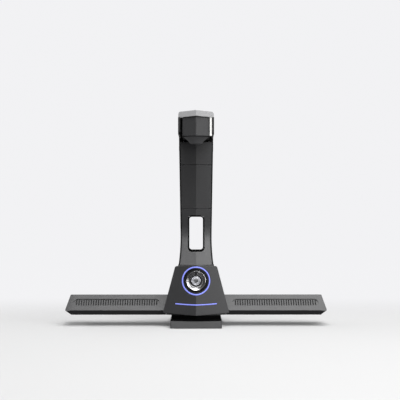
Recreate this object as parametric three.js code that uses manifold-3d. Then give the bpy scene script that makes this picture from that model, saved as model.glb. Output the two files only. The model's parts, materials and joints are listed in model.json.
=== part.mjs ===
// Desktop book scanner: a weighted foot carries a central body with a swivelling conference camera,
// two speaker bars and a faceted arm whose tilting head holds the downward page camera.
// Millimetres. X runs along the speaker bars, -Y is the reader's side, +Z is up, z = 0 is the desk.
import * as THREE from "three";
import { mergeVertices } from "three/addons/utils/BufferGeometryUtils.js";
import Module from "manifold-3d";

const wasm = await Module();
wasm.setup();

// ---- Driving dimensions ----------------------------------------------------------------------

const fit = { seat: 0.3, running: 0.12, seam: 0.5, slack: 0.6 };

const foot = {
  width: 78, front: -69, depth: 130, height: 12, nose: 6, backChamfer: 3, frontCorner: 1.5, backCorner: 9,
  lift: 0.4, matThick: 1.6, matInset: 3, matCorner: 3, ballastThick: 6.4, ballastInset: 5,
};

const neck = { height: 6, halfWidth: 37, back: 14, setBack: 1.4, wall: 2.4 };

const body = {
  halfBottom: 46, halfTop: 28, height: 74.2, back: 26, shoulderY: 10, shoulderDrop: 24,
  wall: 2, chamfer: 4,
};

const pod = {
  halfBottom: 50.9, halfTop: 32.1, cornerRise: 3, peak: 2.6, height: 74, cornerRadius: 3, lowCorner: 1,
  ridgeY: -60, lean: 7.4, facet: 15.5, wall: 3,
};

const eye = {
  rise: 52.3, ringWidth: 2.4, ringProud: 0.3, ringDepth: 2.4,
  cupWall: 1.2, ballRadius: 15.2, ballSink: 7.4, gimbalWidth: 3, gimbalThick: 1.6, pinRadius: 1,
  barrelRadius: 9.1, barrelLength: 6.4, barrelWall: 1.6, glassGap: 0.5,
  ballWall: 1.8, ballMouth: 7, rimAngle: 78, rimLip: 0.6, dishDepth: 2.2, seatDepth: 3,
  tabWidth: 4.6, tabGap: 0.5, tabProud: 0.8, tabDeep: 1.4,
};

const lightBar = { halfLength: 31.8, height: 1.8, rise: 18.2, sag: 1.15, proud: 0.3, depth: 2.2 };

const bar = {
  halfSpan: 200, drop: 1, tipY: -42, tipRise: 7.4, topY: -22, height: 29.8, noseDepth: 6, splitY: -18,
  backY: 6, backDrop: 6.5, wall: 2, topInset: 5.8, bottomInset: 8.3, tipBlunt: 1.8,
  foldX: 189.4, foldAngle: 20,
};

const grille = {
  inner: 56.5, outer: 188.9, height: 12.8, lift: 0.6, recess: 1,
  slotPitch: 3.75, slotWidth: 1.7, slotHeight: 10, clothHeight: 10.8, clothThick: 0.8,
};

const speaker = { radius: 11.4, depth: 7, magnetRadius: 6, magnetDepth: 5, coneDepth: 3, wall: 1 };

const arm = {
  rootY: -25, lean: 32, leanRise: 38, bendRise: 22, upright: -2, uprightRise: 132.5,
  depth: 26, ridge: 4.2, chamfer: 4,
  halfRoot: 27.3, halfWaist: 24.7, halfTop: 27.2, waistRise: 40.5, wall: 2.2, coverWall: 2.2, reveal: 2.2,
};

const seamRises = { lower: 87.5, upper: 157.5 };

const opening = { halfWidth: 10.9, low: 22.5, high: 74.9, radius: 4.2, linerWall: 1.5, linerSink: 0.6 };

const spine = { halfWidth: 19, thick: 3, flangeDepth: 18, flangeThick: 3, topStop: 16, screwInset: 6 };

const hinge = {
  radius: 7.5, pinRadius: 2.5, earRadius: 12.5, earThick: 5.5, slotDrop: 12.5,
  washerThick: 1.1, capRadius: 5, capThick: 1,
};

const head = {
  reach: 95.5, halfWidth: 26.9, coverRise: 32.2, lipHeight: 8.6, gable: 1.9, arch: 1.9,
  coverWall: 1.8, tail: 13.5,
  blockHalf: 20.7, blockRise: 4, blockWall: 1.8, blockTail: 9, frontFacet: 16.4, blockInset: 2, webInset: 4.8,
  roomHalf: 17, tailLip: 3, tailSlope: 7, cheekThick: 3.1, cheekRise: 6.6, cheekInset: 3, cheekRelief: 1.3,
  tabHeight: 4, tabLength: 8, stripHalf: 0.8, stripProud: 0.2, stripDeep: 1.4, stripInset: 8,
  gapBarDeep: 7, gapBarInset: 4,
};

const lens = {
  ahead: 65.5, shroudTop: 19.4, shroudBottom: 8.6, drop: 10, barrelRadius: 6.4, barrelLength: 18, bore: 5,
  glassThick: 1.4, flange: 1.4,
};

const board = { thick: 1.6, clearance: 4, behindSpine: 8, topDrop: 24 };

const ports = {
  halfWidth: 27, low: 8, high: 44, panelThick: 2, recess: 0.6,
  usbWidth: 13, usbHeight: 6.4, usbcWidth: 9.4, usbcHeight: 3.8, shellDepth: 9, shellWall: 0.7, shellBack: 1.5,
  jackRadius: 4.6, jackBore: 3, jackDepth: 11, buttonRadius: 4.4, buttonProud: 1.6, buttonDepth: 5,
  rowGap: 16, sideX: 14, usbRightX: 4, usbcX: 19, tongueHalf: 0.6, tongueInset: 2,
};

const ribbon = { width: 4, thick: 0.5, gap: 0.4, below: 16 };

const screw = { radius: 2.6, headHeight: 1.8, shank: 1.4, length: 6 };

// Cutting tools run this far past whatever they cut.
const past = 100;

// ---- Places worked out from them ---------------------------------------------------------------

const tan = (degrees) => Math.tan(THREE.MathUtils.degToRad(degrees));

const footBack = foot.front + foot.depth;
const bodyBottom = foot.height + neck.height;
const bodyTop = bodyBottom + body.height;
const armRoot = bodyTop + fit.seat;
const armLeanEnd = armRoot + arm.leanRise;
const armBendEnd = armLeanEnd + arm.bendRise;
const hingeZ = armBendEnd + arm.uprightRise;
const eyeZ = bodyBottom + eye.rise;
const eyeY = pod.ridgeY + eye.rise * tan(pod.lean) + eye.ballSink;
const gimbalInner = eye.ballRadius + fit.slack;
const gimbalOuter = gimbalInner + eye.gimbalThick;
const cupInner = gimbalOuter + fit.slack;
const cupOuter = cupInner + eye.cupWall;
const ringInner = cupOuter + fit.running;
const ringOuter = ringInner + eye.ringWidth;
const ringBehind = eyeY + ringOuter;

// The ball's rim, its dish and the lens seat, measured along y from the ball's centre.
const rimAngle = THREE.MathUtils.degToRad(eye.rimAngle);
const rimRadius = Math.sin(rimAngle) * eye.ballRadius;
const rimY = -Math.cos(rimAngle) * eye.ballRadius;
const dishFloor = rimY + eye.dishDepth;
const seatFloor = dishFloor + eye.seatDepth;
const headFloor = hingeZ + head.blockRise;
const coverFloor = hingeZ + head.coverRise;
const gapInner = head.halfWidth - head.cheekThick;

// The arm's front ridge leans back from the body, bends, then stands almost upright.
function armFront(z) {
  const slope = tan(arm.lean);
  const slopeUp = tan(arm.upright);
  if (z <= armLeanEnd) return arm.rootY + (z - armRoot) * slope;
  const bendStart = arm.rootY + arm.leanRise * slope;
  const u = Math.min(z, armBendEnd) - armLeanEnd;
  const bent = bendStart + slope * u + ((slopeUp - slope) * u * u) / (2 * arm.bendRise);
  return bent + Math.max(0, z - armBendEnd) * slopeUp;
}

function armSlope(z) {
  const t = THREE.MathUtils.clamp((z - armLeanEnd) / arm.bendRise, 0, 1);
  return THREE.MathUtils.lerp(tan(arm.lean), tan(arm.upright), t);
}

const armBack = (z) => armFront(z) + arm.depth * Math.hypot(1, armSlope(z));

// The arm flares to its root in a curve and widens straight to its top.
function armHalf(z) {
  const waist = armRoot + arm.waistRise;
  if (z < waist) return arm.halfWaist + (arm.halfRoot - arm.halfWaist) * ((waist - z) / arm.waistRise) ** 2;
  return THREE.MathUtils.lerp(arm.halfWaist, arm.halfTop, (z - waist) / (hingeZ - waist));
}

const hingeY = (armFront(hingeZ) + armBack(hingeZ)) / 2;
const headFront = hingeY - head.reach;
const bodyHalf = (z) => THREE.MathUtils.mapLinear(z, bodyBottom, bodyTop, body.halfBottom, body.halfTop);
const spineY = (armFront(armRoot) + armBack(armRoot)) / 2;

// ---- Finishes ----------------------------------------------------------------------------------

const finish = (color, roughness, metalness = 0) =>
  new THREE.MeshStandardMaterial({ color, roughness, metalness });

const graphite = finish(0x3a3a3c, 0.5);
const charcoal = finish(0x2b2b2d, 0.55);
const black = finish(0x0c0c0e, 0.45);
const rubber = finish(0x151515, 0.9);
const silver = finish(0xb0b0b2, 0.35, 0.6);
const chrome = finish(0xdadada, 0.08, 1);
const steel = finish(0x8a8d90, 0.35, 1);
const glass = finish(0x9aa0a6, 0.05, 0.2);
const blueLight = finish(0x8a90ff, 0.4);
const whiteLight = finish(0xf2f2ea, 0.4);
const cloth = finish(0x1c1c1e, 0.95);
const circuit = finish(0x1f5a3a, 0.6);
const copper = finish(0xb8792f, 0.4, 0.8);
const paper = finish(0x2a2a2a, 0.8);

// ---- Shape helpers -----------------------------------------------------------------------------

function toSolid(geometry) {
  const bare = geometry.clone();
  for (const name of Object.keys(bare.attributes)) if (name !== "position") bare.deleteAttribute(name);
  const merged = mergeVertices(bare, 1e-4);
  const kept = [];
  const index = merged.index.array;
  for (let i = 0; i < index.length; i += 3) {
    const [a, b, c] = [index[i], index[i + 1], index[i + 2]];
    if (a !== b && b !== c && c !== a) kept.push(a, b, c);
  }
  const vertProperties = Float32Array.from(merged.attributes.position.array);
  const triVerts = Uint32Array.from(kept);
  const solid = new wasm.Manifold(new wasm.Mesh({ numProp: 3, vertProperties, triVerts }));
  if (solid.volume() > 0) return solid;
  return new wasm.Manifold(new wasm.Mesh({ numProp: 3, vertProperties, triVerts: triVerts.reverse() }));
}

function toGeometry(solid) {
  const made = solid.getMesh();
  const geometry = new THREE.BufferGeometry();
  geometry.setAttribute("position", new THREE.BufferAttribute(made.vertProperties, 3));
  geometry.setIndex(new THREE.BufferAttribute(made.triVerts, 1));
  const flat = geometry.toNonIndexed();
  flat.computeVertexNormals();
  return flat;
}

const join = (...solids) => solids.reduce((all, one) => all.add(one));
const cut = (solid, ...tools) => tools.reduce((left, tool) => left.subtract(tool), solid);

const towards = (x, y, z) => new THREE.Vector3(x, y, z);
const turns = {
  x: new THREE.Matrix4().makeBasis(towards(0, 1, 0), towards(0, 0, 1), towards(1, 0, 0)),
  y: new THREE.Matrix4().makeBasis(towards(1, 0, 0), towards(0, 0, 1), towards(0, -1, 0)),
  z: new THREE.Matrix4(),
};

// A 2-D outline pushed along an axis. The outline's pair is (y, z) along x, (x, z) along y and (x, y) along z.
function prism(axis, outline, from, to, curveSegments = 6) {
  const corners = (list) => new THREE.Shape(list.map(([u, v]) => new THREE.Vector2(u, v)));
  const shape = Array.isArray(outline) ? corners(outline) : outline;
  const geometry = new THREE.ExtrudeGeometry(shape, { depth: to - from, bevelEnabled: false, curveSegments });
  const start = axis === "y" ? to : from;
  const place = { x: [start, 0, 0], y: [0, start, 0], z: [0, 0, start] }[axis];
  return toSolid(geometry.applyMatrix4(turns[axis]).translate(...place));
}

function block(x0, x1, y0, y1, z0, z1) {
  const geometry = new THREE.BoxGeometry(x1 - x0, y1 - y0, z1 - z0);
  return toSolid(geometry.translate((x0 + x1) / 2, (y0 + y1) / 2, (z0 + z1) / 2));
}

// A profile of [radius, height] pairs turned about an axis; height runs along that axis.
function turned(axis, profile, centre, segments = 32) {
  const points = profile.map(([r, h]) => new THREE.Vector2(r, h));
  const geometry = new THREE.LatheGeometry(points, segments);
  if (axis === "x") geometry.rotateZ(-Math.PI / 2);
  if (axis === "z") geometry.rotateX(Math.PI / 2);
  return toSolid(geometry.translate(...centre));
}

const rod = (axis, radius, from, to, centre, segments = 32) =>
  turned(axis, [[0, from], [radius, from], [radius, to], [0, to]], centre, segments);

const pipe = (axis, inner, outer, from, to, centre, segments = 32) =>
  turned(axis, [[inner, from], [outer, from], [outer, to], [inner, to], [inner, from]], centre, segments);

// A closed outline whose corners are rounded by arcs of one radius each.
function roundedShape(corners, radii) {
  const shape = new THREE.Shape();
  const count = corners.length;
  corners.forEach(([x, y], i) => {
    const here = new THREE.Vector2(x, y);
    const before = new THREE.Vector2(...corners[(i + count - 1) % count]).sub(here).normalize();
    const after = new THREE.Vector2(...corners[(i + 1) % count]).sub(here).normalize();
    const half = Math.acos(THREE.MathUtils.clamp(before.dot(after), -1, 1)) / 2;
    const radius = Array.isArray(radii) ? radii[i] : radii;
    const reach = radius / Math.tan(half);
    const enter = here.clone().addScaledVector(before, reach);
    const leave = here.clone().addScaledVector(after, reach);
    if (i === 0) shape.moveTo(enter.x, enter.y);
    else shape.lineTo(enter.x, enter.y);
    if (radius > 0) shape.quadraticCurveTo(x, y, leave.x, leave.y);
  });
  shape.closePath();
  return shape;
}

const rectangle = (x0, x1, y0, y1) => [[x0, y0], [x1, y0], [x1, y1], [x0, y1]];

// Rings of the same number of points, joined in order and closed by flat ends.
function loft(rings) {
  const count = rings[0].length;
  const index = [];
  const at = (ring, i) => ring * count + (i % count);
  for (let r = 0; r < rings.length - 1; r += 1) {
    for (let i = 0; i < count; i += 1) {
      index.push(at(r, i), at(r, i + 1), at(r + 1, i + 1), at(r, i), at(r + 1, i + 1), at(r + 1, i));
    }
  }
  const cap = THREE.ShapeUtils.triangulateShape(rings[0].map(([x, y]) => new THREE.Vector2(x, y)), []);
  const last = rings.length - 1;
  for (const [a, b, c] of cap) index.push(c, b, a, at(last, a), at(last, b), at(last, c));
  const geometry = new THREE.BufferGeometry();
  geometry.setAttribute("position", new THREE.Float32BufferAttribute(rings.flat(2), 3));
  geometry.setIndex(index);
  return toSolid(geometry);
}

const scanner = new THREE.Group();
const assembly = new THREE.Group();
scanner.add(assembly);

function piece(name, solid, material, parent = assembly) {
  const mesh = new THREE.Mesh(toGeometry(solid), material);
  mesh.name = name;
  parent.add(mesh);
  return mesh;
}

// ---- Foot, neck and spine ----------------------------------------------------------------------

const footHalf = foot.width / 2;
const pocketTop = foot.matThick + fit.seat + foot.ballastThick + fit.seat;

// The foot's plan, shrunk by an inset.
function footPlan(inset, frontCorner, backCorner) {
  const half = footHalf - inset;
  const corners = rectangle(-half, half, foot.front + inset, footBack - inset);
  return roundedShape(corners, [frontCorner, frontCorner, backCorner, backCorner]);
}

function ballastPlan(inset) {
  const half = footHalf - inset;
  return rectangle(-half, half, foot.front + foot.nose + inset, footBack - inset);
}

function makeFoot() {
  const plan = footPlan(0, foot.frontCorner, foot.backCorner);
  const side = [
    [foot.front, 0], [footBack, 0], [footBack, foot.height - foot.backChamfer],
    [footBack - foot.backChamfer, foot.height], [foot.front + foot.nose, foot.height],
  ];
  const outer = prism("z", plan, foot.lift, foot.height).intersect(prism("x", side, -footHalf, footHalf));
  const matFloor = foot.matThick + fit.seat;
  const mat = (inset) => footPlan(inset, foot.matCorner, foot.backCorner - foot.matInset);
  const holes = flangeScrewPlaces().map(([x, y]) =>
    rod("z", screw.shank + fit.running, 0, foot.height + 1, [x, y, 0], 12));
  piece("foot_shell", cut(
    outer,
    prism("z", ballastPlan(foot.ballastInset - fit.seat), -1, pocketTop),
    prism("z", mat(foot.matInset - fit.seat), -1, matFloor),
    ...holes,
  ), charcoal);
  const tubes = flangeScrewPlaces().map(([x, y]) =>
    rod("z", screw.radius + fit.slack, -1, foot.height, [x, y, 0], 12));
  const ballast = prism("z", ballastPlan(foot.ballastInset), matFloor, pocketTop - fit.seat);
  piece("ballast_plate", cut(ballast, ...tubes), steel);
  piece("anti_slip_mat", prism("z", mat(foot.matInset), 0, foot.matThick), rubber);
}

function flangeScrewPlaces() {
  const x = spine.halfWidth - spine.screwInset;
  const y = spineY + spine.flangeDepth - spine.screwInset;
  return [[-x, y], [x, y]];
}

// The neck's front follows the pod's two facets, a little further back.
function neckOutline(inset) {
  const half = neck.halfWidth - inset;
  const front = pod.ridgeY + neck.setBack + inset / Math.cos(THREE.MathUtils.degToRad(pod.facet));
  const side = front + half * tan(pod.facet);
  return [[0, front], [half, side], [half, neck.back - inset], [-half, neck.back - inset], [-half, side]];
}

function makeNeck() {
  const low = foot.height + fit.seat;
  const high = bodyBottom - fit.seat;
  const shell = prism("z", neckOutline(0), low, high);
  piece("neck_collar", cut(shell, prism("z", neckOutline(neck.wall), low - 1, high + 1)), black);
}

// The steel spine stands on the foot, runs up inside the arm and stops under the hinge.
function makeSpine() {
  const top = hingeZ - hinge.earRadius - spine.topStop;
  const levels = [foot.height + fit.seat, armRoot];
  for (let i = 0; i <= 6; i += 1) levels.push(armLeanEnd + (arm.bendRise * i) / 6);
  levels.push(top);
  const half = spine.halfWidth;
  const rings = levels.map((z) => {
    const middle = z < armRoot ? spineY : (armFront(z) + armBack(z)) / 2;
    const thick = (spine.thick * Math.hypot(1, armSlope(Math.max(z, armRoot)))) / 2;
    return rectangle(-half, half, middle - thick, middle + thick).map(([x, y]) => [x, y, z]);
  });
  const flangeBack = spineY + spine.flangeDepth;
  const low = foot.height + fit.seat;
  const flange = block(-half, half, spineY, flangeBack, low, low + spine.flangeThick);
  const holes = flangeScrewPlaces().map(([x, y]) =>
    rod("z", screw.shank + fit.running, low - 1, low + spine.flangeThick + 1, [x, y, 0], 12));
  const window = windowPrism(opening.linerWall + fit.slack);
  piece("spine_plate", cut(join(loft(rings), flange), window, ...holes), steel);
  flangeScrewPlaces().forEach(([x, y], i) => {
    const seat = low + spine.flangeThick + fit.seat;
    const profile = [
      [0, seat - screw.length], [screw.shank, seat - screw.length], [screw.shank, seat], [screw.radius, seat],
      [screw.radius, seat + screw.headHeight], [0, seat + screw.headHeight],
    ];
    piece(`spine_screw_${i + 1}`, turned("z", profile, [x, y, 0], 12), steel);
  });
}

// ---- Body --------------------------------------------------------------------------------------

// A plan outline pushed upwards while it slides back by a slope.
function leaning(outline, height, slope) {
  const shape = new THREE.Shape(outline.map(([x, y]) => new THREE.Vector2(x, y)));
  const geometry = new THREE.ExtrudeGeometry(shape, { depth: height, bevelEnabled: false });
  return geometry.applyMatrix4(new THREE.Matrix4().set(1, 0, 0, 0, 0, 1, slope, 0, 0, 0, 1, 0, 0, 0, 0, 1));
}

// Everything behind the pod's two leaning facets, set back by an offset.
function behindPod(offset) {
  const far = 150;
  const deep = 200;
  const drop = far * tan(pod.facet);
  const wedge = [[0, 0], [far, drop], [far, deep], [-far, deep], [-far, drop]];
  return toSolid(leaning(wedge, far, tan(pod.lean)).translate(0, pod.ridgeY + offset, bodyBottom));
}

function bodyBlock(inset) {
  const low = bodyBottom + inset;
  const high = bodyTop - inset;
  const face = [
    [-bodyHalf(low) + inset, low], [bodyHalf(low) - inset, low],
    [bodyHalf(high) - inset, high], [-bodyHalf(high) + inset, high],
  ];
  const back = body.back - inset;
  const side = [
    [pod.ridgeY, low], [back - body.chamfer, low], [back, low + body.chamfer],
    [back, high - body.shoulderDrop], [body.shoulderY - inset, high], [pod.ridgeY, high],
  ];
  return prism("y", face, pod.ridgeY, body.back).intersect(prism("x", side, -body.halfBottom, body.halfBottom));
}

const portLow = bodyBottom + ports.low;
const portHigh = bodyBottom + ports.high;

function makeBody() {
  const shell = bodyBlock(0).intersect(behindPod(pod.wall + fit.seat));
  const hollow = bodyBlock(body.wall);
  const half = spine.halfWidth + fit.slack;
  const slotFront = spineY - spine.thick - fit.slack;
  const slotBack = spineY + spine.thick + fit.slack;
  const armHole = block(-half, half, slotFront, slotBack, bodyTop - body.wall - 1, bodyTop + 1);
  const footHole = block(
    -half, half, slotFront, spineY + spine.flangeDepth + fit.slack, bodyBottom - 1, bodyBottom + body.wall + 1,
  );
  const ringRoom = rod("y", ringOuter + fit.seat, pod.ridgeY, ringBehind, [0, 0, eyeZ], 48);
  const panelHole = block(
    -ports.halfWidth - fit.seat, ports.halfWidth + fit.seat, body.back - body.wall - 1, body.back + 1,
    portLow - fit.seat, portHigh + fit.seat,
  );
  piece("body_shell", cut(shell, hollow, armHole, footHole, ringRoom, panelHole), charcoal);

  const low = bodyBottom + body.wall + board.clearance + spine.flangeThick;
  const high = bodyTop - board.topDrop;
  const y = spineY + spine.thick + board.behindSpine;
  const boardHalf = bodyHalf(high) - body.wall - board.clearance;
  piece("main_board", prism("y", rectangle(-boardHalf, boardHalf, low, high), y, y + board.thick), circuit);
}

// ---- Rear port panel ---------------------------------------------------------------------------

const portBack = body.back - ports.recess;

const socketFace = (x, z, width, height, grow) =>
  rectangle(x - width / 2 - grow, x + width / 2 + grow, z - height / 2 - grow, z + height / 2 + grow);

// A metal socket shell, closed at its back, with the tongue that the plug slides over.
function makeSocket(name, x, z, width, height) {
  const back = portBack - ports.shellDepth;
  const outer = prism("y", socketFace(x, z, width, height, 0), back, portBack);
  const mouthFace = socketFace(x, z, width, height, -ports.shellWall);
  const mouth = prism("y", mouthFace, back + ports.shellBack, portBack + 1);
  const tongueFace = socketFace(x, z, width - 2 * ports.tongueInset, 2 * ports.tongueHalf, 0);
  const tongue = prism("y", tongueFace, back + 1, portBack - 1);
  piece(name, cut(outer, mouth).add(tongue), steel);
  return prism("y", socketFace(x, z, width, height, fit.seat), portBack - ports.panelThick - 1, portBack + 1);
}

function makePorts() {
  const front = portBack - ports.panelThick;
  const middle = (portLow + portHigh) / 2;
  const upper = middle + ports.rowGap / 2;
  const lower = middle - ports.rowGap / 2;
  const holes = [
    makeSocket("usb_port_left", -ports.sideX, lower, ports.usbWidth, ports.usbHeight),
    makeSocket("usb_port_right", ports.usbRightX, lower, ports.usbWidth, ports.usbHeight),
    makeSocket("usb_c_port", ports.usbcX, lower, ports.usbcWidth, ports.usbcHeight),
    rod("y", ports.jackRadius + fit.seat, front - 1, portBack + 1, [-ports.sideX, 0, upper], 24),
    rod("y", ports.buttonRadius + fit.seat, front - 1, portBack + 1, [ports.sideX, 0, upper], 24),
  ];
  const outline = rectangle(-ports.halfWidth, ports.halfWidth, portLow, portHigh);
  piece("port_panel", cut(prism("y", outline, front, portBack), ...holes), black);

  const jack = [-ports.sideX, 0, upper];
  const jackBack = portBack - ports.jackDepth;
  const sleeve = pipe("y", ports.jackBore, ports.jackRadius, jackBack, portBack, jack, 24);
  const rear = rod("y", ports.jackRadius, jackBack, jackBack + 2, jack, 24);
  const contact = rod("y", 1, jackBack + 1, portBack - 2, jack, 12);
  piece("power_inlet", join(sleeve, rear, contact), black);

  const r = ports.buttonRadius;
  const proud = portBack + ports.buttonProud;
  piece("power_button", turned("y", [
    [0, portBack - ports.buttonDepth], [r, portBack - ports.buttonDepth],
    [r, proud - 0.5], [r - 0.5, proud], [0, proud],
  ], [ports.sideX, 0, upper], 24), silver);
}

// ---- Pod: front cover, lights and swivelling camera ---------------------------------------------

function podOutline(grow) {
  const low = bodyBottom + pod.cornerRise - grow;
  const high = bodyBottom + pod.height + grow;
  const bottom = pod.halfBottom + grow;
  const top = pod.halfTop + grow;
  const r = pod.cornerRadius;
  const corners = [
    [0, bodyBottom - grow], [bottom, low], [top, high], [0, high + pod.peak], [-top, high], [-bottom, low],
  ];
  return roundedShape(corners, [0, pod.lowCorner, r, 0, r, pod.lowCorner]);
}

// A shallow upward-curving strip, lower in the middle than at its ends.
function lightBarShape(grow) {
  const half = lightBar.halfLength + grow;
  const middle = bodyBottom + lightBar.rise;
  const low = middle - lightBar.height / 2 - grow;
  const high = middle + lightBar.height / 2 + grow;
  const shape = new THREE.Shape();
  shape.moveTo(-half, low);
  shape.quadraticCurveTo(0, low - 2 * lightBar.sag, half, low);
  shape.lineTo(half, high);
  shape.quadraticCurveTo(0, high - 2 * lightBar.sag, -half, high);
  shape.closePath();
  return shape;
}

function makePod() {
  const near = pod.ridgeY - 5;
  const centre = [0, 0, eyeZ];
  const slab = prism("y", podOutline(0), near, ringBehind);
  const cover = cut(
    slab.intersect(behindPod(0)),
    behindPod(pod.wall),
    rod("y", ringOuter + fit.running, near, ringBehind, centre, 64),
    prism("y", lightBarShape(fit.running), near, ringBehind, 10),
  );
  piece("pod_cover", cover, graphite);

  const ring = pipe("y", ringInner, ringOuter, near, ringBehind, centre, 64);
  piece("ring_light", cut(ring.intersect(behindPod(-eye.ringProud)), behindPod(eye.ringDepth)), blueLight);
  const boardFront = eye.ringDepth + fit.seat;
  piece("ring_light_board", cut(
    pipe("y", ringInner + fit.seat, ringOuter - fit.seat, near, ringBehind, centre, 48)
      .intersect(behindPod(boardFront)),
    behindPod(boardFront + board.thick),
  ), circuit);

  const strip = prism("y", lightBarShape(0), near, ringBehind, 10);
  piece("bar_light", cut(strip.intersect(behindPod(-lightBar.proud)), behindPod(lightBar.depth)), blueLight);

  const cupBack = eyeY + eye.ballRadius + 3;
  const cupBody = turned("y", [
    [0, cupBack - 2], [cupInner - 4, cupBack - 2], [cupInner, cupBack - 8], [cupInner, near],
    [cupOuter, near], [cupOuter, cupBack - 6], [cupInner - 3, cupBack], [0, cupBack],
  ], centre, 48);
  const pinHole = rod("z", eye.pinRadius + fit.running, -past, past, [0, eyeY, eyeZ], 16);
  piece("eye_socket", cut(cupBody.intersect(behindPod(0.5)), pinHole), black);
  makeEye();
}

function makeEye() {
  const centre = [0, eyeY, eyeZ];
  const half = eye.gimbalWidth / 2;
  const pins = rod("z", eye.pinRadius, -cupOuter + 0.4, cupOuter - 0.4, centre, 16);
  const ballRoom = rod("z", eye.pinRadius + 1, -gimbalInner - 0.2, gimbalInner + 0.2, centre, 16);
  const trunnionHole = rod("x", eye.pinRadius + fit.running, -gimbalOuter - 1, gimbalOuter + 1, centre, 16);
  piece("eye_gimbal", cut(
    pipe("y", gimbalInner, gimbalOuter, -half, half, centre, 40).add(cut(pins, ballRoom)), trunnionHole,
  ), black);

  const steps = 9;
  const arc = (radius, from, to) => Array.from({ length: steps + 1 }, (_, i) => {
    const angle = THREE.MathUtils.lerp(from, to, i / steps);
    return [Math.sin(angle) * radius, -Math.cos(angle) * radius];
  });
  const seatRadius = eye.barrelRadius + fit.seat;
  const innerRadius = eye.ballRadius - eye.ballWall;
  const plate = seatFloor + eye.ballWall;
  const end = Math.PI - Math.asin(eye.ballMouth / eye.ballRadius);
  const innerEnd = Math.PI - Math.asin(eye.ballMouth / innerRadius);
  const ball = turned("y", [
    [0, seatFloor], [seatRadius, seatFloor], [seatRadius, dishFloor], [rimRadius - eye.rimLip, rimY],
    ...arc(eye.ballRadius, rimAngle, end), ...arc(innerRadius, innerEnd, Math.acos(-plate / innerRadius)),
    [0, plate],
  ], centre, 40);
  const reach = gimbalOuter - fit.seat;
  const stubs = cut(
    rod("x", eye.pinRadius, -reach, reach, centre, 16),
    rod("x", eye.pinRadius + 1, -innerRadius, innerRadius, centre, 16),
  );
  piece("eye_ball", cut(ball.add(stubs), tiltTab(fit.seat)), chrome);
  piece("eye_tilt_tab", tiltTab(0), black);

  const barrelBack = seatFloor - fit.seat;
  const barrelFront = barrelBack - eye.barrelLength;
  const inner = eye.barrelRadius - eye.barrelWall;
  piece("eye_lens_barrel", turned("y", [
    [0, barrelFront + 2.2], [inner, barrelFront + 0.8],
    [inner + 0.3, barrelFront], [eye.barrelRadius - 0.4, barrelFront],
    [eye.barrelRadius, barrelFront + 0.4], [eye.barrelRadius, barrelBack], [0, barrelBack],
  ], centre, 40), black);
  const glassRadius = inner - eye.glassGap;
  piece("eye_lens_glass", turned("y", [
    [0, barrelFront + 0.2], [glassRadius * 0.6, barrelFront + 0.35], [glassRadius, barrelFront + 0.75],
    [0, barrelFront + 1.9],
  ], centre, 32), glass);
}

// The thumb tab stands in the dish above the lens; its pocket is open through the dish's rim.
function tiltTab(grow) {
  const half = eye.tabWidth / 2 + grow;
  const low = eyeZ + eye.barrelRadius + fit.seat + eye.tabGap - grow;
  const high = eyeZ + (grow > 0 ? eye.ballRadius + grow : rimRadius - fit.seat);
  const front = eyeY + rimY - eye.tabProud - grow;
  return block(-half, half, front, eyeY + dishFloor + eye.tabDeep + grow, low, high);
}

// ---- Speaker bars ------------------------------------------------------------------------------

const barLow = bodyBottom - bar.drop;
const barTip = barLow + bar.tipRise;
const barHigh = barLow + bar.height;
const faceRise = barHigh - barTip;
const faceRun = bar.topY - bar.tipY;
const faceLength = Math.hypot(faceRise, faceRun);

// Bar cross-section (y, z) shrunk by an inset on every side.
function barSection(inset) {
  const slope = faceRun / faceRise;
  const sideStep = (inset * faceLength) / faceRise;
  const low = barLow + inset;
  const tipY = bar.tipY + sideStep;
  const tipZ = Math.max(barTip, low + 1);
  const high = barHigh - inset * 1.2;
  const topY = tipY + (high - tipZ) * slope;
  return [
    [bar.tipY + bar.noseDepth + inset, low], [bar.backY - 2 - inset, low], [bar.backY - inset, low + 2],
    [bar.backY - 2 - inset, barHigh - bar.backDrop - inset], [topY, high], [tipY, tipZ],
  ];
}

// Front view of one bar (x, z), its inner end following the body's flank.
function barFace(inset) {
  const innerAt = (z) => bodyHalf(z) + fit.seat + inset;
  const low = barLow + inset * 0.99;
  const high = barHigh - inset * 0.99;
  return [
    [innerAt(low), low], [bar.halfSpan - bar.bottomInset - inset, low], [bar.halfSpan - inset * 1.3, barTip],
    [bar.halfSpan - inset * 1.3, barTip + bar.tipBlunt], [bar.halfSpan - bar.topInset - inset, high],
    [innerAt(high), high],
  ];
}

// The bar's outer end folds back from its face in one slanting facet.
function barPlan(inset) {
  const start = bar.foldX - inset * 0.4;
  const end = bar.halfSpan + 4;
  const deep = (end - start) * tan(bar.foldAngle);
  const outline = [[0, 0], [start, 0], [end, deep], [end, 120], [0, 120]];
  const slope = faceRun / faceRise;
  const geometry = leaning(outline, barHigh + past, slope);
  return toSolid(geometry.translate(0, bar.tipY - barTip * slope, 0));
}

const barSolid = (inset) => prism("x", barSection(inset), 0, bar.halfSpan + 10)
  .intersect(prism("y", barFace(inset), bar.tipY - 5, bar.backY + 5))
  .intersect(barPlan(inset));

// Puts a solid on the bar's sloping face: its x runs along the bar, its y up the slope, its z out of the face.
function onFace(solid, x, up, out) {
  const upY = faceRun / faceLength;
  const upZ = faceRise / faceLength;
  const frame = new THREE.Matrix4().makeBasis(
    new THREE.Vector3(1, 0, 0), new THREE.Vector3(0, upY, upZ), new THREE.Vector3(0, -upZ, upY),
  );
  const middleY = (bar.tipY + bar.topY) / 2;
  const middleZ = (barTip + barHigh) / 2;
  frame.setPosition(x, middleY + upY * up - upZ * out, middleZ + upZ * up + upY * out);
  return solid.transform(frame.toArray());
}

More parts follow.
